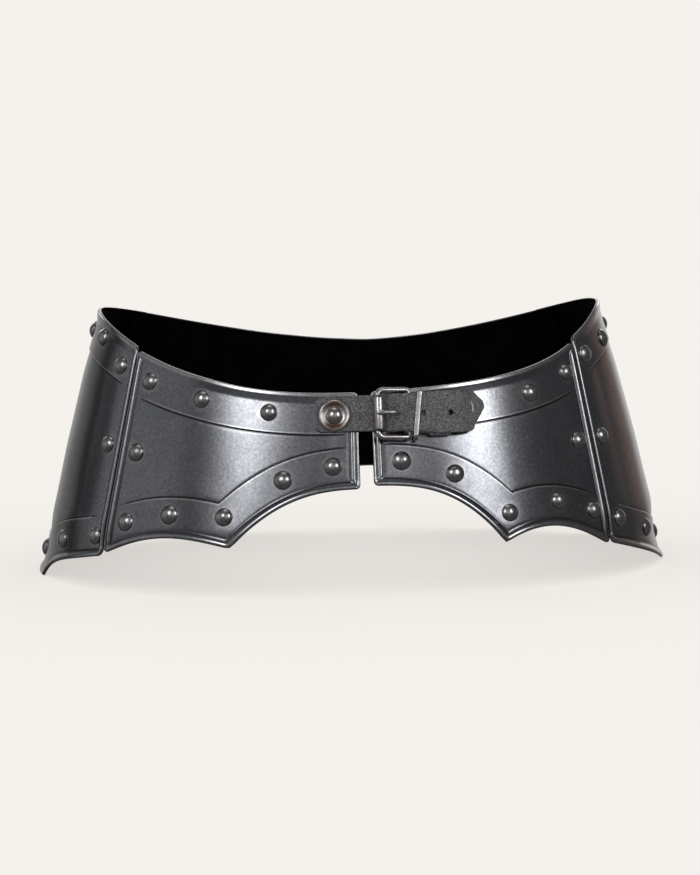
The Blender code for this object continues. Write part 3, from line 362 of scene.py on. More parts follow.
def make_plates():
    plates = {}
    for key, side in SIDES.items():
        sign, seam = side["sign"], side["seam"]
        front = sorted((sign * GAP_HALF, sign * (seam - SEAM_CLEARANCE)))
        plates[f"front_plate_{key}"] = Plate(
            f"front_plate_{key}", *front, front_top,
            lambda a, side=side: front_bottom(a, side),
            points=(sign * side["arch"][3], sign * (side["arch"][3] + 3.0)), gap_edges=(sign * GAP_HALF,),
            lip=FRONT_LIP, bead=FRONT_BEAD)
        rear = sign * (BACK_SEAM - SEAM_CLEARANCE)
        ends = sorted((sign * (seam + SEAM_CLEARANCE), rear))
        plates[f"side_plate_{key}"] = Plate(
            f"side_plate_{key}", *ends, lambda a: top_height(a, SIDE_RISE),
            lambda a, side=side: side_bottom(a, side),
            points=(sign * SIDE_FOOT_END, sign * SIDE_FLAT_END), rear_edges=(rear,))
    middle = 180.0 - SKEW
    ends = (BACK_SEAM + SEAM_CLEARANCE, 360.0 - BACK_SEAM - SEAM_CLEARANCE)
    plates["back_plate"] = Plate(
        "back_plate", *ends, lambda a: top_height(a, SIDE_RISE) - BACK_DROP, back_bottom,
        points=(middle - BACK_POINT_ANGLE, middle + BACK_POINT_ANGLE), rear_edges=ends)
    return plates


# ---- unevenness
WAVES = np.random.default_rng(11)


def make_waves(count, shortest, longest):
    """Plane waves in random directions, for soft unevenness of hand-worked surfaces."""
    directions = WAVES.normal(size=(count, 3))
    directions /= np.linalg.norm(directions, axis=1, keepdims=True)
    lengths = shortest * (longest / shortest) ** WAVES.random(count)
    return directions * (2.0 * math.pi / lengths)[:, None], WAVES.random(count) * 2.0 * math.pi, lengths


def uneven(points, waves):
    """Sum of the waves at the points, about -1 to 1, long waves strongest."""
    directions, phases, lengths = waves
    weights = lengths / lengths.sum()
    return np.sin(points @ directions.T + phases) @ weights * 1.8


DENTS = make_waves(26, 0.012, 0.060)
HAMMER = make_waves(30, 0.0022, 0.0060)
make_waves(36, 0.0012, 0.0070)         # kept for its draws alone: the rivets' draws follow them


# ---- meshes
def to_object(name, verts, faces, materials, faces_material=None):
    mesh = bpy.data.meshes.new(name)
    mesh.from_pydata(np.asarray(verts).reshape(-1, 3).tolist(), [], np.asarray(faces).tolist()
                     if isinstance(faces, np.ndarray) else faces)
    for item in materials:
        mesh.materials.append(item)
    if faces_material is not None:
        mesh.polygons.foreach_set("material_index", np.asarray(faces_material, np.int32))
    mesh.update()
    mesh.shade_smooth()
    made = bpy.data.objects.new(name, mesh)
    bpy.context.scene.collection.objects.link(made)
    return made


def add_attribute(piece, name, values):
    kind = "FLOAT" if values.ndim == 1 else "FLOAT_VECTOR"
    attribute = piece.data.attributes.new(name, kind, "POINT")
    attribute.data.foreach_set("value" if kind == "FLOAT" else "vector", values.astype(np.float32).ravel())


def finish_piece(piece, slot, *nodes):
    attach(piece, "root")
    if nodes:
        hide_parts(*nodes)
    return piece


def add_piece(name, mesh, material, slot, *nodes):
    """One piece of one material, from its vertices and faces."""
    return finish_piece(to_object(name, *mesh, [material]), slot, *nodes)


def rounded_off(distance, radius):
    """How much a rounded corner has taken off the face at a distance from the edge."""
    inside = np.clip(1.0 - distance / radius, 0.0, 1.0)
    return radius * (1.0 - np.sqrt(1.0 - inside ** 2))


def build_plate(plate, rivet_spots, steel, inside):
    """Shell of the plate with rolled rims; its rows follow its edges."""
    columns = plate.columns()
    edge_rows = np.array(EDGE_ROWS + BORDER_ROWS) * MM
    rows = []
    for distance in edge_rows:
        rows.append((plate.inset(columns, distance, "bottom"), 1.0, distance))
    last, first = plate.inset(columns, edge_rows[-1], "bottom"), plate.inset(columns, edge_rows[-1], "top")
    for share in np.linspace(0.0, 1.0, FIELD_ROWS + 2)[1:-1]:
        rows.append((last + (first - last) * share, 1.0, 1.0))
    for distance in edge_rows[::-1]:
        rows.append((plate.inset(columns, distance, "top"), distance, 1.0))
    heights = np.array([r[0] for r in rows])
    shape = heights.shape
    from_top = np.broadcast_to(np.array([r[1] for r in rows])[:, None], shape)
    from_bottom = np.broadcast_to(np.array([r[2] for r in rows])[:, None], shape)
    angles = np.broadcast_to(columns[None, :], shape)
    from_side = plate.edge_distance(angles)
    from_edge = np.minimum(from_top, from_bottom)

    face = plate.face(angles, from_top, from_bottom)
    flat = smooth(np.minimum(from_edge, from_side), *DENT_EDGE)
    face = face + DENT_DEPTH * flat * uneven(on_ring(angles, heights), DENTS)
    by_side = smooth(from_edge - from_side, -0.001, 0.001)
    rim = RIM + (SIDE_RIM - RIM) * by_side
    nearest = np.minimum(from_edge, from_side)
    near_top = smooth(from_bottom - from_top, -0.003, 0.003)
    radius = np.minimum(EDGE_RADII[1] + (EDGE_RADII[0] - EDGE_RADII[1]) * near_top, rim / 2.0)
    lost = rounded_off(nearest, radius)
    wall = WALL + (rim - WALL) * (1.0 - smooth(nearest, rim / 2.0, rim / 2.0 + 0.0015))
    level = smooth(from_edge, 0.0, 0.010)
    outer = place(angles, heights, face - lost, level)
    inner = place(angles, heights, face - np.where(nearest < rim / 2.0, rim - lost, wall), level)

    row_count, column_count = shape
    outer_index = np.arange(row_count * column_count).reshape(shape)
    inner_index = outer_index + row_count * column_count
    for edge in (np.s_[0, :], np.s_[-1, :], np.s_[:, 0], np.s_[:, -1]):
        inner_index[edge] = outer_index[edge]

    def quads(index):
        corners = (index[:-1, :-1], index[:-1, 1:], index[1:, 1:], index[1:, :-1])
        return np.stack(corners, axis=-1).reshape(-1, 4)

    deep = nearest[:-1, :-1] > INSIDE_FROM
    faces = np.concatenate((quads(outer_index), quads(inner_index)[:, ::-1]))
    look = np.concatenate((np.zeros(deep.size, int), deep.ravel().astype(int)))
    verts = np.concatenate((outer.reshape(-1, 3), inner.reshape(-1, 3)))
    used = np.unique(faces)
    renumber = np.full(len(verts), -1)
    renumber[used] = np.arange(len(used))
    made = to_object(plate.name + ".sheet", verts[used], renumber[faces], [steel, inside], look)

    # Ridges and the top edge are painted lighter, partly as polish and partly as a painted highlight; creases
    # are painted darker as painted shade.
    before, here, after = (plate.face(angles, from_top, from_bottom, shift)
                           for shift in (-RELIEF_REACH, 0.0, RELIEF_REACH))
    relief = (here - (before + after) / 2.0) / RELIEF_FULL
    relief = relief + TOP_WEAR_AND_HIGHLIGHT * np.exp(-(from_top / TOP_WEAR_AND_HIGHLIGHT_REACH) ** 2)
    relief = np.clip(relief, -1.0, 1.0).ravel()
    scuff = np.zeros(shape)
    for spot in rivet_spots:
        away = np.linalg.norm(outer - spot, axis=-1)
        scuff = np.maximum(scuff, np.exp(-((away - RIVET_RADIUS - SCUFF_AWAY) / SCUFF_WIDTH) ** 2))
    scuff = scuff.ravel()
    along = np.stack((track(angles), heights, np.zeros(shape)), axis=-1).reshape(-1, 3)
    add_attribute(made, "relief", np.concatenate((relief, relief))[used])
    add_attribute(made, "scuff", np.concatenate((scuff, scuff))[used])
    add_attribute(made, "along", np.concatenate((along, along))[used])
    return finish_piece(made, "steel", plate.name)


def frame_on(turn, height, origin):
    """Matrix whose Z points out of the ring and whose Y points up it."""
    normal = Vector(square_to_ring(turn, height))
    across = Vector((0.0, 0.0, 1.0)).cross(normal).normalized()
    turned_axes = Matrix((across, normal.cross(across), normal)).transposed().to_4x4()
    return Matrix.Translation(Vector(origin)) @ turned_axes


def front_frame(x, height, out=0.0):
    return frame_on(float(front_turn(x, height)), height, front_place(x, height, out))


def turned_mesh(profile, sides, closed=False):
    """Vertices and faces turned from (radius, height) points: ends on the axis, or closed as a ring."""
    turns = np.linspace(0.0, 2.0 * math.pi, sides, endpoint=False)
    verts, rings = [], []
    for radius, height in profile:
        count = 1 if radius == 0.0 else sides
        ring = [(radius * math.cos(t), radius * math.sin(t), height) for t in turns[:count]]
        rings.append(list(range(len(verts), len(verts) + count)))
        verts += ring
    faces = []
    pairs = list(zip(rings, rings[1:])) + ([(rings[-1], rings[0])] if closed else [])
    for low, high in pairs:
        for k in range(sides):
            corners = [high[k % len(high)], high[(k + 1) % sides % len(high)],
                       low[(k + 1) % sides % len(low)], low[k % len(low)]]
            faces.append(list(dict.fromkeys(corners)))
    return np.array(verts), faces


def dome(radius, rise, base, steps=11):
    """Points of a domed head from its crown out to its edge: a part of a sphere on a low wall."""
    sphere = (radius ** 2 + rise ** 2) / (2.0 * rise)
    turns = np.linspace(0.0, math.asin(radius / sphere), steps)
    points = [(sphere * math.sin(t), base + rise - sphere * (1.0 - math.cos(t))) for t in turns]
    return points + [(radius, base - 0.0002)]


def transformed(verts, matrix):
    rotation, shift = np.array(matrix.to_3x3()), np.array(matrix.translation)
    return verts @ rotation.T + shift


def build_rivet(name, matrix, grip, steel, inside, node=None):
    """Hammered dome on a shank, with a peened burr inside."""
    size = 1.0 + 0.05 * WAVES.uniform(-1.0, 1.0)
    rise = RIVET_RISE * (1.0 + 0.10 * WAVES.uniform(-1.0, 1.0))
    head = dome(RIVET_RADIUS * size, rise, 0.0005)
    profile = head + [(RIVET_RADIUS * size * 0.97, -0.0002), (SHANK_RADIUS, -0.0003), (SHANK_RADIUS, -grip),
                      (BURR_RADIUS * 0.9, -grip - 0.0001), (BURR_RADIUS, -grip - 0.0004),
                      (BURR_RADIUS * 0.6, -grip - BURR_HEIGHT * 0.9), (0.0, -grip - BURR_HEIGHT)]
    verts, faces = turned_mesh(profile, 32)
    hidden = [int(max(verts[k][2] for k in face) < -0.0001) for face in faces]
    spin = WAVES.uniform(0.0, 2.0 * math.pi)
    offset = WAVES.uniform(-1.0, 1.0, 3)
    dent = uneven(verts + offset, HAMMER) * 0.00010 * (verts[:, 2] > -0.0001)
    outward = verts / np.maximum(np.linalg.norm(verts, axis=1, keepdims=True), 1e-9)
    lean = Matrix.Rotation(math.radians(WAVES.uniform(-2.5, 2.5)), 4, "X")
    verts = transformed(verts + outward * dent[:, None], matrix @ lean @ Matrix.Rotation(spin, 4, "Z"))
    made = to_object(name, verts, faces, [steel, inside], hidden)
    return finish_piece(made, "rivets", *([node] if node else []))


def rivet_places(plates):
    """All plate rivets: name, plate, angle, height, grip, and the node that each stands for, if any."""
    found = []
    for key, side in SIDES.items():
        sign, seam = side["sign"], side["seam"]
        for where, plate in (("front", plates[f"front_plate_{key}"]), ("side", plates[f"side_plate_{key}"])):
            for row in ("top", "bottom"):
                for k, (angle, inset) in enumerate(side[f"{where}_{row}"]):
                    height = plate.level(sign * angle, inset, row)
                    name = f"rivet_{where}_{key}_{row}_{k + 1}"
                    found.append((name, plate, sign * angle, height, SHEET_GRIP, True))
            for row, (away, inset) in zip(("top", "middle", "bottom"), side[f"{where}_seam"]):
                angle = sign * (seam - away if where == "front" else seam + away)
                height = plate.level(angle, inset, row)
                found.append((f"rivet_{where}_{key}_seam_{row}", plate, angle, height, LEATHER_GRIP, True))
        flank = plates[f"side_plate_{key}"]
        rear = [(a, "top") for a in SIDE_REAR_TOP_RIVETS] + [(a, "bottom") for a in SIDE_REAR_BOTTOM_RIVETS]
        for k, (angle, row) in enumerate(rear + [(BACK_SEAM_RIVET, "middle")]):
            height = flank.level(sign * angle, REAR_INSETS[row], row)
            found.append((f"rivet_rear_{key}_{k + 1}", flank, sign * angle, height, LEATHER_GRIP, False))
    back = plates["back_plate"]
    for row, angles in BACK_RIVETS.items():
        for k, away in enumerate(sorted([-a for a in angles] + list(angles))):
            height = back.level(180.0 + away, REAR_INSETS[row], row)
            grip = LEATHER_GRIP if abs(away) > 45.0 else SHEET_GRIP
            found.append((f"rivet_back_{row}_{k + 1}", back, 180.0 + away, height, grip, False))
    return found


def build_rivets(places, steel, inside):
    for name, plate, angle, height, grip, is_node in places:
        from_top = plate.level(angle, 0.0, "top") - height
        from_bottom = height - plate.level(angle, 0.0, "bottom")
        in_field = min(from_top, from_bottom) > BORDER
        seat = -STEP * float(plate.field_share(angle)) if in_field else 0.0
        turn = float(slanted(angle, height))
        matrix = frame_on(turn, height, place(angle, height, seat))
        build_rivet(name + ".dome", matrix, grip, steel, inside, name if is_node else None)


# ---- strap and buckle
STRAP = 0.0020
STRAP_MIDDLE = 0.1088
# Station: place across, lower edge, upper edge, height of the strap's back above the plate.
STRAP_STATIONS = mm(
    (-30.2, 101.0, 117.6, 0.9), (-27.8, 99.3, 120.0, 0.9), (-24.0, 99.2, 120.6, 0.9),
    (-17.6, 99.2, 120.6, 0.9), (-9.6, 99.3, 120.6, 1.0), (-8.6, 99.3, 120.6, 1.7), (0.0, 99.2, 120.6, 1.7),
    (8.3, 99.1, 120.6, 1.8), (11.5, 98.9, 120.6, 2.2), (14.5, 98.7, 120.6, 3.6), (18.5, 98.4, 120.6, 5.4),
    (23.0, 98.1, 120.5, 6.9), (27.5, 97.8, 120.5, 7.5), (37.2, 97.1, 121.0, 7.5), (40.0, 96.9, 121.2, 6.6),
    (44.0, 96.6, 121.5, 5.4), (52.0, 96.3, 121.7, 5.2), (58.5, 96.2, 121.9, 4.6), (61.8, 96.3, 122.0, 3.4),
    (63.2, 96.5, 122.0, 2.9), (64.7, 96.8, 121.9, 2.5), (66.0, 97.6, 121.8, 2.1), (66.8, 98.4, 121.2, 1.9),
    (67.1, 100.0, 120.7, 1.8), (68.4, 102.0, 119.5, 1.5), (69.6, 103.8, 118.3, 1.3),
    (70.8, 105.7, 117.0, 1.2), (72.2, 108.2, 115.8, 1.1), (73.1, 109.6, 114.6, 1.1),
    (73.6, 110.4, 112.4, 1.1))
STRAP_CORNER, HOLES = 0.0005, (0.0345, 0.0515)    # radius of its cut edges; places of the open holes
HOLE_LEVEL, STRAP_HOLE_RADIUS = 0.1083, 0.0018
SCRATCH_RADIUS = 0.00045
SCRATCH = mm((64.9, 114.6), (65.8, 112.4), (66.1, 110.0), (65.9, 107.9))
STRAP_RIVET_PLACE = -0.0188
WIRE_RADIUS, END_BAR_RADIUS = 0.0018, 0.0011
END_BAR, HINGE_BAR = (0.0071, 0.0070), (0.0268, 0.0037)      # place across, height
FRAME_HALF_HEIGHT = 0.0142
FRAME_CORNERS = {"end": 0.0042, "hinge": 0.0022}
ROLLER_RADIUS, ROLLER_BORE, ROLLER_HALF_LENGTH, ROLLER_PLACE = 0.0033, 0.0027, 0.0101, 0.0082
PRONG_RADIUS, PRONG_LOOP = 0.00135, 0.0028
PRONG_PATH = mm((22.8, 5.2), (20.6, 6.6), (19.0, 8.8), (17.6, 10.3), (15.2, 11.1), (11.5, 11.7),
                (8.5, 11.8), (6.2, 11.5))
KEEPER_TOP, KEEPER_FOOT, KEEPER_SLANT = (0.0312, 0.0102), (0.0322, 0.0035), 0.12
KEEPER_WIDTH, KEEPER_THICKNESS, KEEPER_CORNER = 0.0029, 0.0014, 0.0020
KEEPER_RANGE = (0.0938, 0.1217)
# Radius and height.
WASHER_CUP = mm((1.9, 0.1), (9.2, 0.1), (9.9, 0.6), (9.5, 1.5), (8.5, 2.0), (7.0, 1.4), (5.6, 0.8),
                (1.9, 0.7))
STRAP_RIVET_RADIUS, STRAP_RIVET_RISE, STRAP_RIVET_SEAT = 0.0054, 0.0026, 0.0009


def strap_at(x):
    """Lower edge, upper edge and height of the back of the strap at a place across."""
    table = np.array(STRAP_STATIONS)
    return tuple(np.interp(x, table[:, 0], table[:, k]) for k in (1, 2, 3))


def loft(rings, closed=False, caps=True):
    """Vertices and faces of a tube through equal rings of points."""
    rings = np.asarray(rings)
    count, sides = rings.shape[:2]
    index = np.arange(count * sides).reshape(count, sides)
    if closed:
        index = np.vstack((index, index[:1]))
    after = np.roll(index, -1, axis=1)
    faces = np.stack((index[:-1], after[:-1], after[1:], index[1:]), axis=-1).reshape(-1, 4).tolist()
    if caps and not closed:
        faces += [index[0][::-1].tolist(), index[-1].tolist()]
    return rings.reshape(-1, 3), faces


def cut(piece, cutters):
    """Takes the cutters out of a piece and removes them."""
    for cutter in cutters:
        modifier = piece.modifiers.new("hole", "BOOLEAN")
        modifier.operation, modifier.solver, modifier.object = "DIFFERENCE", "EXACT", cutter
    graph = bpy.context.evaluated_depsgraph_get()
    mesh = bpy.data.meshes.new_from_object(piece.evaluated_get(graph), depsgraph=graph)
    piece.modifiers.clear()
    piece.data = mesh
    for cutter in cutters:
        bpy.data.objects.remove(cutter, do_unlink=True)


def build_strap(leather):
    """Strap lofted along its stations, with rounded cut edges and punched holes."""
    stations = np.array(STRAP_STATIONS)[:, 0]
    xs = np.unique(np.concatenate((np.arange(stations[0], stations[-1], 0.0005), stations)))
    low, high, back = strap_at(xs)
    kernel = np.ones(5) / 5.0
    back = np.convolve(np.pad(back, 2, mode="edge"), kernel, mode="valid")
    across = np.concatenate((np.linspace(0.0, 0.06, 5), np.linspace(0.06, 0.94, 36)[1:-1],
                             np.linspace(0.94, 1.0, 5)))
    rings = []
    for x, bottom, top, off in zip(xs, low, high, back):
        width = top - bottom
        front = bottom + across * width
        from_edge = np.minimum(front - bottom, top - front)
        droop = rounded_off(from_edge, STRAP_CORNER)
        path = [(h, off + STRAP - d) for h, d in zip(front, droop)]
        path += [(h, off + d) for h, d in zip(front[::-1], droop[::-1] * 0.5)]
        rings.append([front_place(x, h, o) for h, o in path])
    verts, faces = loft(rings)
    made = to_object("strap.hide", verts, faces, [leather])
    cutters = []
    for k, x in enumerate(HOLES, 1):
        profile = [(0.0, -0.002), (STRAP_HOLE_RADIUS, -0.002), (STRAP_HOLE_RADIUS, 0.004), (0.0, 0.004)]
        hole, hole_faces = turned_mesh(profile[::-1], 20)
        matrix = front_frame(x, HOLE_LEVEL, float(strap_at(x)[2]))
        cutters.append(to_object(f"hole {k}", transformed(hole, matrix), hole_faces, [leather]))
    cut(made, cutters)
    made.data.shade_smooth()
    return finish_piece(made, "leather", "strap")


def build_scratch(fibre):
    """Pale curved nick near the tip of the strap."""
    path = smooth_path(SCRATCH, 24)
    points = [front_place(x, h, float(strap_at(x)[2]) + STRAP + 0.0001) for x, h in path]
    radii = SCRATCH_RADIUS * np.sin(np.linspace(0.25, math.pi - 0.25, len(points)))
    return add_piece("strap.nick", loft(tube(points, radii, sides=8)), fibre, "leather")


def tube(path, radii, sides=20, closed=False):
    """Rings of a round bar along a path of points, with a radius for each."""
    path = np.asarray(path, float)
    if closed:
        ahead = np.roll(path, -1, axis=0) - np.roll(path, 1, axis=0)
    else:
        ahead = np.gradient(path, axis=0)
    ahead /= np.linalg.norm(ahead, axis=1, keepdims=True)
    wide = np.cross(ahead[0], (0.3, 0.5, 0.8))
    rings = []
    turns = np.linspace(0.0, 2.0 * math.pi, sides, endpoint=False)
    for point, forward, radius in zip(path, ahead, radii):
        wide = wide - forward * (wide @ forward)
        wide = wide / np.linalg.norm(wide)
        deep = np.cross(forward, wide)
        rings.append(point + radius * (np.cos(turns)[:, None] * wide + np.sin(turns)[:, None] * deep))
    return rings


def smooth_path(points, count):
    """Points on a Catmull-Rom curve through the given ones."""
    points = np.asarray(points, float)
    padded = np.vstack((2 * points[0] - points[1], points, 2 * points[-1] - points[-2]))
    out = []
    for t in np.linspace(0.0, len(points) - 1 - 1e-9, count):
        k, u = int(t), t - int(t)
        a, b, c, d = padded[k:k + 4]
        out.append(0.5 * (2 * b + (c - a) * u + (2 * a - 5 * b + 4 * c - d) * u ** 2
                          + (3 * b - a - 3 * c + d) * u ** 3))
    return np.array(out)


def buckle_points(x, along, out):
    return front_place(np.asarray(x), STRAP_MIDDLE + np.asarray(along), out)


def build_buckle_frame(nickel):
    (end_x, end_out), (hinge_x, hinge_out) = END_BAR, HINGE_BAR
    corners = ((end_x, -1, 180.0), (hinge_x, -1, 270.0), (hinge_x, 1, 0.0), (end_x, 1, 90.0))
    outline = []
    for x, vertical, start in corners:
        corner = FRAME_CORNERS["end" if x == end_x else "hinge"]
        centre_x = x + corner if x == end_x else x - corner
        centre_z = vertical * (FRAME_HALF_HEIGHT - corner)
        for turn in np.radians(start + np.linspace(0.0, 90.0, 10)):
            outline.append((centre_x + corner * math.cos(turn), centre_z + corner * math.sin(turn)))
    fine = []
    for (x0, z0), (x1, z1) in zip(outline, outline[1:] + outline[:1]):
        pieces = max(1, int(math.hypot(x1 - x0, z1 - z0) / 0.0012))
        fine += [(x0 + (x1 - x0) * k / pieces, z0 + (z1 - z0) * k / pieces) for k in range(pieces)]
    fine = np.array(fine)
    out = end_out + (hinge_out - end_out) * (fine[:, 0] - end_x) / (hinge_x - end_x)
    inner_bar = np.abs(fine[:, 0] - end_x) < 1e-5
    radii = np.where(inner_bar, END_BAR_RADIUS, WIRE_RADIUS)
    path = buckle_points(fine[:, 0], fine[:, 1], out)
    verts, faces = loft(tube(path, radii, closed=True), closed=True)
    verts = verts + (uneven(verts, HAMMER) * 0.00003)[:, None]
    return add_piece("buckle_frame.wire", (verts, faces), nickel, "buckle", "buckle_frame")


def build_roller(nickel):
    """Rolled tube round the end bar, its ends turned in a little."""
    normal = Vector(square_to_ring(float(front_turn(ROLLER_PLACE, STRAP_MIDDLE)), STRAP_MIDDLE))
    across = Vector((0.0, 0.0, 1.0)).cross(normal).normalized()
    axes = Matrix((normal, across, normal.cross(across))).transposed().to_4x4()
    matrix = Matrix.Translation(Vector(buckle_points(ROLLER_PLACE, 0.0, END_BAR[1]))) @ axes
    half, outer, bore = ROLLER_HALF_LENGTH, ROLLER_RADIUS, ROLLER_BORE
    profile = [(bore, -half + 0.0001), (outer - 0.0003, -half), (outer - 0.0001, -half + 0.0002),
               (outer, -half + 0.0006), (outer, 0.0), (outer, half - 0.0006), (outer - 0.0001, half - 0.0002),
               (outer - 0.0003, half), (bore, half - 0.0001)]
    verts, faces = turned_mesh(profile[::-1], 48, closed=True)
    mesh = transformed(verts, matrix), faces
    return add_piece("buckle_roller.tube", mesh, nickel, "buckle", "buckle_roller")


def build_prong(nickel):
    hinge_x, hinge_out = HINGE_BAR
    turns = [math.radians(a) for a in (225.0, 262.0, 300.0, 338.0, 16.0, 54.0, 92.0, 126.0)]
    loop = [(hinge_x + PRONG_LOOP * math.cos(t), hinge_out + PRONG_LOOP * math.sin(t)) for t in turns]
    path = smooth_path(loop + list(PRONG_PATH), 90)
    share = np.linspace(0.0, 1.0, len(path))
    radii = PRONG_RADIUS * (0.85 + 0.15 * smooth(share, 0.4, 0.55)) * (1.0 - 0.35 * smooth(share, 0.9, 1.0))
    points = buckle_points(path[:, 0], np.zeros(len(path)), path[:, 1])
    mesh = loft(tube(points, radii, sides=16))
    return add_piece("buckle_prong.wire", mesh, nickel, "buckle", "buckle_prong")


def build_keeper(nickel):
    """Flat band round the strap and the chape, a rounded rectangle that leans across."""
    (top_x, top_out), (foot_x, foot_out) = KEEPER_TOP, KEEPER_FOOT
    half = KEEPER_THICKNESS / 2
    low, high = KEEPER_RANGE[0] - half, KEEPER_RANGE[1] + half
    loop = []
    for level, out, start in ((high, top_out, 0.0), (low, top_out, 90.0), (low, foot_out, 180.0),
                              (high, foot_out, 270.0)):
        centre_z = level - math.copysign(KEEPER_CORNER, level - STRAP_MIDDLE)
        centre_out = out - math.copysign(KEEPER_CORNER, out - (top_out + foot_out) / 2)
        for turn in np.radians(start + np.linspace(0.0, 90.0, 9)):
            loop.append((centre_z, centre_out, turn))
    outline = []
    for turn in np.linspace(0.0, 2.0 * math.pi, 24, endpoint=False):
        outline.append((half * signed_power(math.sin(turn), 0.55), signed_power(math.cos(turn), 0.35)))
    rings = []
    for centre_z, centre_out, turn in loop:
        ring = []
        for thick, wide in outline:
            reach = KEEPER_CORNER + thick
            height, off = centre_z + reach * math.cos(turn), centre_out + reach * math.sin(turn)
            share = (off - foot_out) / (top_out - foot_out)
            x = foot_x + (top_x - foot_x) * share + KEEPER_SLANT * (height - STRAP_MIDDLE)
            ring.append(front_place(x + wide * KEEPER_WIDTH / 2, height, off))
        rings.append(ring)
    filled = []
    for before, after in zip(rings, rings[1:] + rings[:1]):
        before, after = np.array(before), np.array(after)
        steps = max(1, int(np.linalg.norm(after.mean(0) - before.mean(0)) / 0.0015))
        filled += [before + (after - before) * k / steps for k in range(steps)]
    return add_piece("keeper_loop.band", loft(filled, closed=True), nickel, "buckle", "keeper_loop")


def build_washer(nickel, steel):
    head = float(strap_at(STRAP_RIVET_PLACE)[2]) + STRAP + 0.0002
    matrix = front_frame(STRAP_RIVET_PLACE, STRAP_MIDDLE)
    cup = smooth_path(WASHER_CUP, 44)
    verts, faces = turned_mesh([(r, head + h) for r, h in cup][::-1], 96, closed=True)
    made = to_object("strap_washer.cup", transformed(verts, matrix), faces, [nickel])
    away = np.linalg.norm(verts[:, :2], axis=1)
    above = smooth(np.abs(verts[:, 1]) / away, 0.55, 0.95)
    ring = smooth(away, 0.0050, 0.0060) * (1.0 - smooth(away, 0.0082, 0.0090))
    add_attribute(made, "tarnish", above * ring)
    finish_piece(made, "buckle", "strap_washer")
    seat = head + STRAP_RIVET_SEAT
    profile = dome(STRAP_RIVET_RADIUS, STRAP_RIVET_RISE, seat + 0.0004, 14)
    profile += [(0.0052, seat - 0.0002), (SHANK_RADIUS, seat - 0.0002), (SHANK_RADIUS, -0.0017),
                (BURR_RADIUS, -0.0018), (BURR_RADIUS * 0.7, -0.0025), (0.0, -0.0026)]
    verts, faces = turned_mesh(profile, 48)
    add_piece("strap_rivet.dome", (transformed(verts, matrix), faces), steel, "rivets", "strap_rivet")


# ---- materials
class Look:
    """A node material being put together."""

    def __init__(self, name, base, roughness, metallic):
        self.material = bpy.data.materials.new(name)
        self.material.use_nodes = True
        self.tree = self.material.node_tree
        self.shader = self.tree.nodes["Principled BSDF"]
        self.shader.inputs["Base Color"].default_value = (*base, 1.0)
        self.shader.inputs["Roughness"].default_value = roughness
        self.shader.inputs["Metallic"].default_value = metallic
        self.height = None

    def node(self, kind, settings=None, **inputs):
        made = self.tree.nodes.new("ShaderNode" + kind)
        for key, value in (settings or {}).items():
            setattr(made, key, value)
        for key, value in inputs.items():
            self.plug(value, made.inputs[int(key[1:]) if key[0] == "_" else key.replace("_", " ")])
        return made

    def plug(self, value, socket):
        """Links another node's output to a socket, or sets its value; a colour may lack its alpha."""
        if isinstance(value, bpy.types.NodeSocket):
            self.tree.links.new(value, socket)
        else:
            socket.default_value = (*value, 1.0) if socket.type == "RGBA" and len(value) == 3 else value

    def position(self):
        return self.node("TexCoord").outputs["Object"]

    def attribute(self, name):
        return self.node("Attribute", {"attribute_name": name})

    def scaled(self, vector, x, y, z):
        return self.node("Mapping", None, Vector=vector, Scale=(x, y, z)).outputs[0]

    def noise(self, vector, scale, detail=3.0, rough=0.5, distortion=0.0):
        made = self.node("TexNoise", None, Vector=vector, Scale=scale, Detail=detail, Roughness=rough,
                         Distortion=distortion)
        return made.outputs["Fac"]

    def span(self, value, low, high, to_low=0.0, to_high=1.0):
        made = self.node("MapRange", {"interpolation_type": "SMOOTHSTEP"}, Value=value, From_Min=low,
                         From_Max=high, To_Min=to_low, To_Max=to_high)
        return made.outputs[0]

    def maths(self, operation, first, second=0.0, third=0.0):
        return self.node("Math", {"operation": operation}, _0=first, _1=second, _2=third).outputs[0]

    def mix(self, share, first, second):
        return self.node("Mix", {"data_type": "RGBA"}, _0=share, _6=first, _7=second).outputs[2]

    def use(self, socket, value):
        self.tree.links.new(value, self.shader.inputs[socket])

    def bump(self, height, strength, distance):
        """Adds a layer of relief to what is there already."""
        made = self.node("Bump", None, Height=height, Strength=strength, Distance=distance)
        if self.height is not None:
            self.tree.links.new(self.height, made.inputs["Normal"])
        self.height = made.outputs[0]
        self.use("Normal", self.height)

    def finish(self, tone, rough, *layers):
        """The material, with its colour, roughness and layers of relief."""
        self.use("Base Color", tone)
        if rough:
            self.use("Roughness", rough)
        for layer in layers:
            self.bump(*layer)
        return self.material


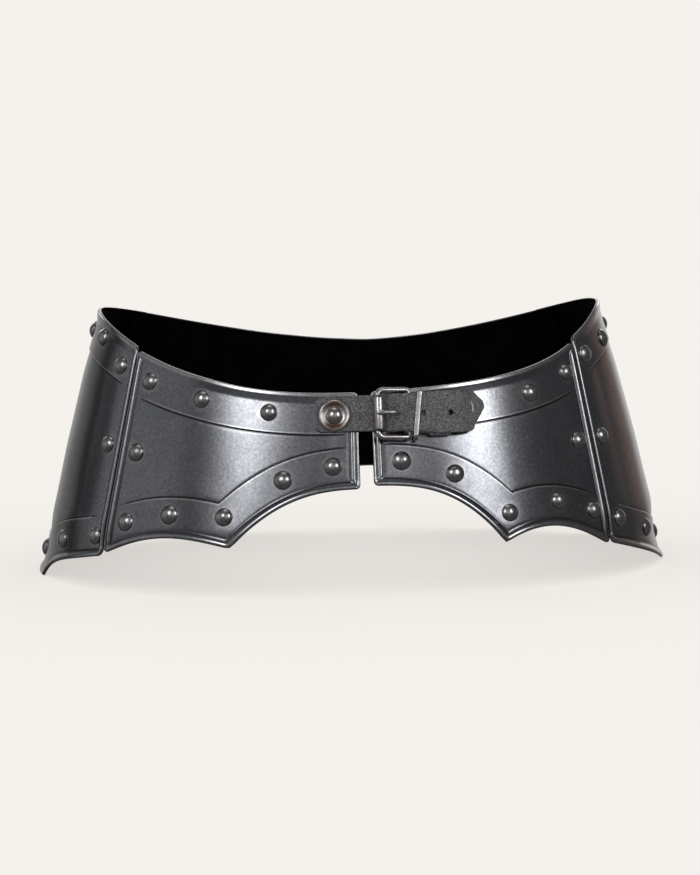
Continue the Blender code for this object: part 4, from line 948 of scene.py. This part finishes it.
def steel_look():
    look = Look("dark polished steel", (0.30, 0.305, 0.325), 0.24, 1.0)
    at = look.position()
    along = look.attribute("along").outputs["Vector"]
    relief = look.attribute("relief").outputs["Fac"]
    scuff = look.attribute("scuff").outputs["Fac"]
    cloud = look.noise(at, 22.0, 4.0, 0.6)
    mottle = look.noise(at, 200.0, 5.0, 0.7, 0.6)
    tone = look.mix(look.span(cloud, 0.35, 0.68), (0.275, 0.282, 0.306), (0.310, 0.316, 0.340))
    speckle = look.noise(at, 620.0, 3.0, 0.7)
    tone = look.mix(look.span(mottle, 0.50, 0.72, 0.0, 0.28), tone, (0.19, 0.185, 0.19))
    tone = look.mix(look.span(speckle, 0.50, 0.66, 0.0, 0.55), tone, (0.17, 0.165, 0.17))
    tone = look.mix(look.span(speckle, 0.34, 0.46, 0.42, 0.0), tone, (0.46, 0.47, 0.49))
    scuffed = look.maths("MULTIPLY", scuff, look.span(mottle, 0.35, 0.6, 0.55, 0.15))
    tone = look.mix(scuffed, tone, (0.56, 0.56, 0.57))
    # Painted highlight on ridges and along the top edge, partly real polish from wear.
    polish_and_highlight = look.maths("MULTIPLY", look.span(relief, 0.08, 0.75), look.span(mottle, 0.3, 0.6, 0.95, 0.5))
    tone = look.mix(polish_and_highlight, tone, (0.66, 0.67, 0.69))
    # Painted shade: creases and the foot of each step are painted darker.
    tone = look.mix(look.span(relief, -0.6, -0.08, 0.8, 0.0), tone, (0.06, 0.058, 0.058))
    fine = look.noise(look.scaled(along, 260.0, 2600.0, 1.0), 1.0, 4.0, 0.7)
    rough = look.maths("ADD", look.span(mottle, 0.40, 0.75, 0.17, 0.20),
                       look.span(fine, 0.5, 0.75, 0.0, 0.04))
    return look.finish(tone, rough, (fine, 0.05, 0.00003), (look.noise(at, 700.0, 4.0, 0.6), 0.10, 0.00006))


def inside_look():
    # Near-black, with its specular almost off: partly a blackened finish, partly painted shade for the unlit
    # inside.
    look = Look("black inside in painted shade", (0.001, 0.001, 0.001), 0.8, 0.0)
    look.shader.inputs["Specular IOR Level"].default_value = 0.02
    at = look.position()
    cloud = look.noise(at, 60.0, 5.0, 0.6)
    tone = look.mix(look.span(cloud, 0.35, 0.7), (0.0006, 0.0006, 0.0006), (0.0016, 0.0015, 0.0014))
    return look.finish(tone, None, (look.noise(at, 900.0, 3.0, 0.6), 0.3, 0.0001))


def rivet_look():
    look = Look("rivet steel", (0.26, 0.25, 0.245), 0.24, 1.0)
    at = look.position()
    patina = look.noise(at, 260.0, 4.0, 0.6, 0.5)
    tone = look.mix(look.span(patina, 0.45, 0.68), (0.52, 0.515, 0.52), (0.35, 0.315, 0.30))
    rough = look.span(patina, 0.35, 0.7, 0.18, 0.34)
    return look.finish(tone, rough, (look.noise(at, 700.0, 3.0, 0.6), 0.12, 0.0001))


def nickel_look():
    look = Look("nickel plate", (0.55, 0.52, 0.49), 0.20, 1.0)
    at = look.position()
    cloud = look.noise(at, 180.0, 4.0, 0.6)
    tone = look.mix(look.span(cloud, 0.4, 0.7), (0.64, 0.62, 0.61), (0.46, 0.42, 0.40))
    tarnish = look.maths("MULTIPLY", look.attribute("tarnish").outputs["Fac"],
                         look.span(cloud, 0.3, 0.6, 0.9, 0.6))
    tone = look.mix(tarnish, tone, (0.30, 0.10, 0.06))
    rough = look.span(cloud, 0.35, 0.7, 0.24, 0.36)
    return look.finish(tone, rough, (look.noise(at, 1200.0, 3.0, 0.6), 0.12, 0.00008))


def leather_look(name, dark, pale, shine=0.5):
    look = Look(name, dark, 0.6, 0.0)
    look.shader.inputs["Specular IOR Level"].default_value = shine
    at = look.position()
    grain = look.node("TexVoronoi", {"feature": "DISTANCE_TO_EDGE"}, Vector=at, Scale=1400.0)
    pores = look.noise(at, 1800.0, 3.0, 0.65)
    cloud = look.noise(at, 120.0, 4.0, 0.6)
    tone = look.mix(look.span(pores, 0.46, 0.62), dark, pale)
    tone = look.mix(look.span(cloud, 0.5, 0.8, 0.0, 0.5), tone, dark)
    rough = look.span(pores, 0.3, 0.7, 0.42, 0.72)
    return look.finish(tone, rough, (grain.outputs["Distance"], 0.5, 0.00025), (pores, 0.35, 0.00020))


# ---- studio
# What the metal mirrors is a dim tent round the armour, with soft lights on it.  A light is its azimuth (0 in
# front, positive towards +X), elevation, reach across, reach up and down, all in degrees, then how square its
# falloff is across, its strength (below 0 it darkens), and its colour.
TENT_RADIUS, TENT_HEIGHT = 1.0, 0.08
TENT_DARK = 0.085
WHITE, WARM, BROWN, GREENISH = (1.0, 1.0, 1.0), (1.0, 0.98, 0.96), (1.0, 0.62, 0.44), (1.0, 1.02, 0.93)
TENT_LIGHTS = (
    (-29.5, 28.6, 7.8, 10.7, 2.0, 5.1, WHITE),
    (35.0, 24.0, 7.5, 11.0, 3.2, 5.0, WHITE),
    (9.0, 19.0, 8.0, 16.0, 2.0, 0.42, WHITE),
    (36.0, 26.0, 17.0, 12.0, 2.0, 0.34, WHITE),
    (-30.0, 28.0, 20.0, 10.0, 2.0, 0.33, WHITE),
    (-80.0, 12.0, 28.0, 26.0, 9.0, 0.22, WHITE),
    (-113.5, 4.0, 5.5, 40.0, 4.0, -0.045, WHITE),
    (-10.0, 18.0, 34.0, 24.0, 6.0, 0.14, WHITE),
    (125.0, 6.0, 11.0, 14.0, 2.5, 0.19, BROWN),
    (165.0, 4.0, 31.0, 22.0, 6.0, 0.72, WARM),
    (-162.0, 2.0, 41.0, 22.0, 10.0, 0.15, GREENISH),
    (-170.0, 2.0, 28.0, 22.0, 4.0, 0.22, GREENISH),
    (151.0, 26.0, 8.0, 8.0, 2.5, 3.2, WHITE),
    (-149.0, 26.0, 9.0, 8.0, 2.5, 2.6, WHITE),
)
TENT_CAP = (14.0, 1.1)                 # reach down from overhead, strength
PAPER = (0.912, 0.880, 0.846)
FLOOR_HALF, FLOOR_TONE, FLOOR_GLOW = 60.0, 0.36, 0.64

# The camera: azimuth, elevation and roll in degrees, its distance from its aim, and its lens in millimetres.
CAMERA_ANGLES, CAMERA_DISTANCE, CAMERA_LENS = (-3.7, 6.0, -1.04), 2.0, 156.2
CAMERA_AIM = (-0.0007, -0.0033, 0.0815)


def build_tent():
    """Glowing sphere round the armour that only reflections see."""
    look = Look("tent", (0.0, 0.0, 0.0), 1.0, 0.0)
    look.tree.nodes.remove(look.shader)
    parts = look.node("SeparateXYZ", None, _0=look.node("VectorMath", {"operation": "NORMALIZE"},
                                                        _0=look.position()).outputs[0]).outputs
    azimuth = look.maths("ARCTAN2", parts[0], look.maths("MULTIPLY", parts[1], -1.0))
    elevation = look.maths("ARCSINE", parts[2])

    def falloff(value, reach, power):
        share = look.maths("DIVIDE", look.maths("ABSOLUTE", value), math.radians(reach))
        return look.maths("EXPONENT", look.maths("MULTIPLY", look.maths("POWER", share, power), -1.0))

    def add_light(total, colour, share):
        lit = look.node("VectorMath", {"operation": "SCALE"}, _0=colour, Scale=share).outputs[0]
        return look.node("VectorMath", {"operation": "ADD"}, _0=total, _1=lit).outputs[0]

    total = look.node("CombineXYZ", None, _0=TENT_DARK, _1=TENT_DARK, _2=TENT_DARK).outputs[0]
    for at, up, across, above, power, strength, colour in TENT_LIGHTS:
        away = look.maths("SUBTRACT", azimuth, math.radians(at))
        away = look.maths("WRAP", away, math.pi, -math.pi)
        share = look.maths("MULTIPLY", falloff(away, across, power),
                           falloff(look.maths("SUBTRACT", elevation, math.radians(up)), above, 2.0))
        total = add_light(total, tuple(strength * c for c in colour), share)
    cap = falloff(look.maths("SUBTRACT", elevation, math.pi / 2.0), TENT_CAP[0], 2.0)
    total = add_light(total, (TENT_CAP[1],) * 3, cap)
    glow = look.node("Emission", None, Color=total, Strength=1.0)
    look.tree.links.new(glow.outputs[0], look.tree.nodes["Material Output"].inputs[0])

    bm = bmesh.new()
    bmesh.ops.create_icosphere(bm, subdivisions=5, radius=TENT_RADIUS)
    mesh = bpy.data.meshes.new("tent")
    bm.to_mesh(mesh)
    bm.free()
    mesh.materials.append(look.material)
    tent = bpy.data.objects.new("tent", mesh)
    tent.location = (0.0, 0.0, TENT_HEIGHT)
    bpy.context.scene.collection.objects.link(tent)
    tent.visible_camera = tent.visible_diffuse = tent.visible_shadow = False
    tent.visible_transmission = tent.visible_volume_scatter = False


def build_stage():
    """Pale paper floor under an evenly pale sky, so no horizon shows."""
    world = bpy.data.worlds.new("studio")
    bpy.context.scene.world = world
    world.use_nodes = True
    world.node_tree.nodes["Background"].inputs["Color"].default_value = (*PAPER, 1.0)
    look = Look("floor paper", (FLOOR_TONE,) * 3, 0.9, 0.0)
    look.shader.inputs["Emission Color"].default_value = (*PAPER, 1.0)
    look.shader.inputs["Emission Strength"].default_value = FLOOR_GLOW
    look.shader.inputs["Specular IOR Level"].default_value = 0.0
    corners = [(x * FLOOR_HALF, y * FLOOR_HALF, 0) for x, y in ((-1, -1), (1, -1), (1, 1), (-1, 1))]
    floor = to_object("floor", corners, [(0, 1, 2, 3)], [look.material])
    floor.visible_glossy = False


def build_camera():
    """Near level with the armour, and turned a little towards -X."""
    azimuth, elevation, roll = (math.radians(a) for a in CAMERA_ANGLES)
    back = Vector((math.sin(azimuth) * math.cos(elevation), -math.cos(azimuth) * math.cos(elevation),
                   math.sin(elevation)))
    right = (-back).cross(Vector((0.0, 0.0, 1.0))).normalized()
    up = right.cross(-back)
    across = right * math.cos(roll) + up * math.sin(roll)
    above = up * math.cos(roll) - right * math.sin(roll)
    data = bpy.data.cameras.new("camera")
    data.sensor_fit, data.sensor_width, data.lens = "HORIZONTAL", 36.0, CAMERA_LENS
    data.clip_start, data.clip_end = 0.05, 100.0
    camera = bpy.data.objects.new("camera", data)
    axes = Matrix((across, above, back)).transposed().to_4x4()
    camera.matrix_world = Matrix.Translation(Vector(CAMERA_AIM) + back * CAMERA_DISTANCE) @ axes
    bpy.context.scene.collection.objects.link(camera)
    bpy.context.scene.camera = camera


# ---- everything
steel, inside, rivets, nickel = steel_look(), inside_look(), rivet_look(), nickel_look()
leather = leather_look("black leather", (0.020, 0.0205, 0.023), (0.235, 0.24, 0.262))
# The seam leathers are coloured near-black like the inside: painted shade.
seam_leather = leather_look("seam leather", (0.0006, 0.0006, 0.0006), (0.0018, 0.0016, 0.0015), 0.02)
plates = make_plates()
places = rivet_places(plates)
for plate in plates.values():
    spots = [place(angle, height) for _, owner, angle, height, *_ in places if owner is plate]
    build_plate(plate, spots, steel, inside)
build_rivets(places, rivets, inside)
build_strap(leather)
build_scratch(leather_look("bare leather fibre", (0.42, 0.38, 0.30), (0.75, 0.70, 0.58)))
build_buckle_frame(nickel)
build_roller(nickel)
build_prong(nickel)
build_keeper(nickel)
build_washer(nickel, rivets)
for name, item in (("buckle_chape", leather), ("chape_rivet", rivets),
                   *((f"seam_leather_{where}_{side}", seam_leather) for where in ("front", "back")
                     for side in ("left", "right"))):
    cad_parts[name].data.materials.clear()
    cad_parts[name].data.materials.append(item)
build_tent()
build_stage()
build_camera()
bpy.context.scene.view_settings.view_transform = "Standard"
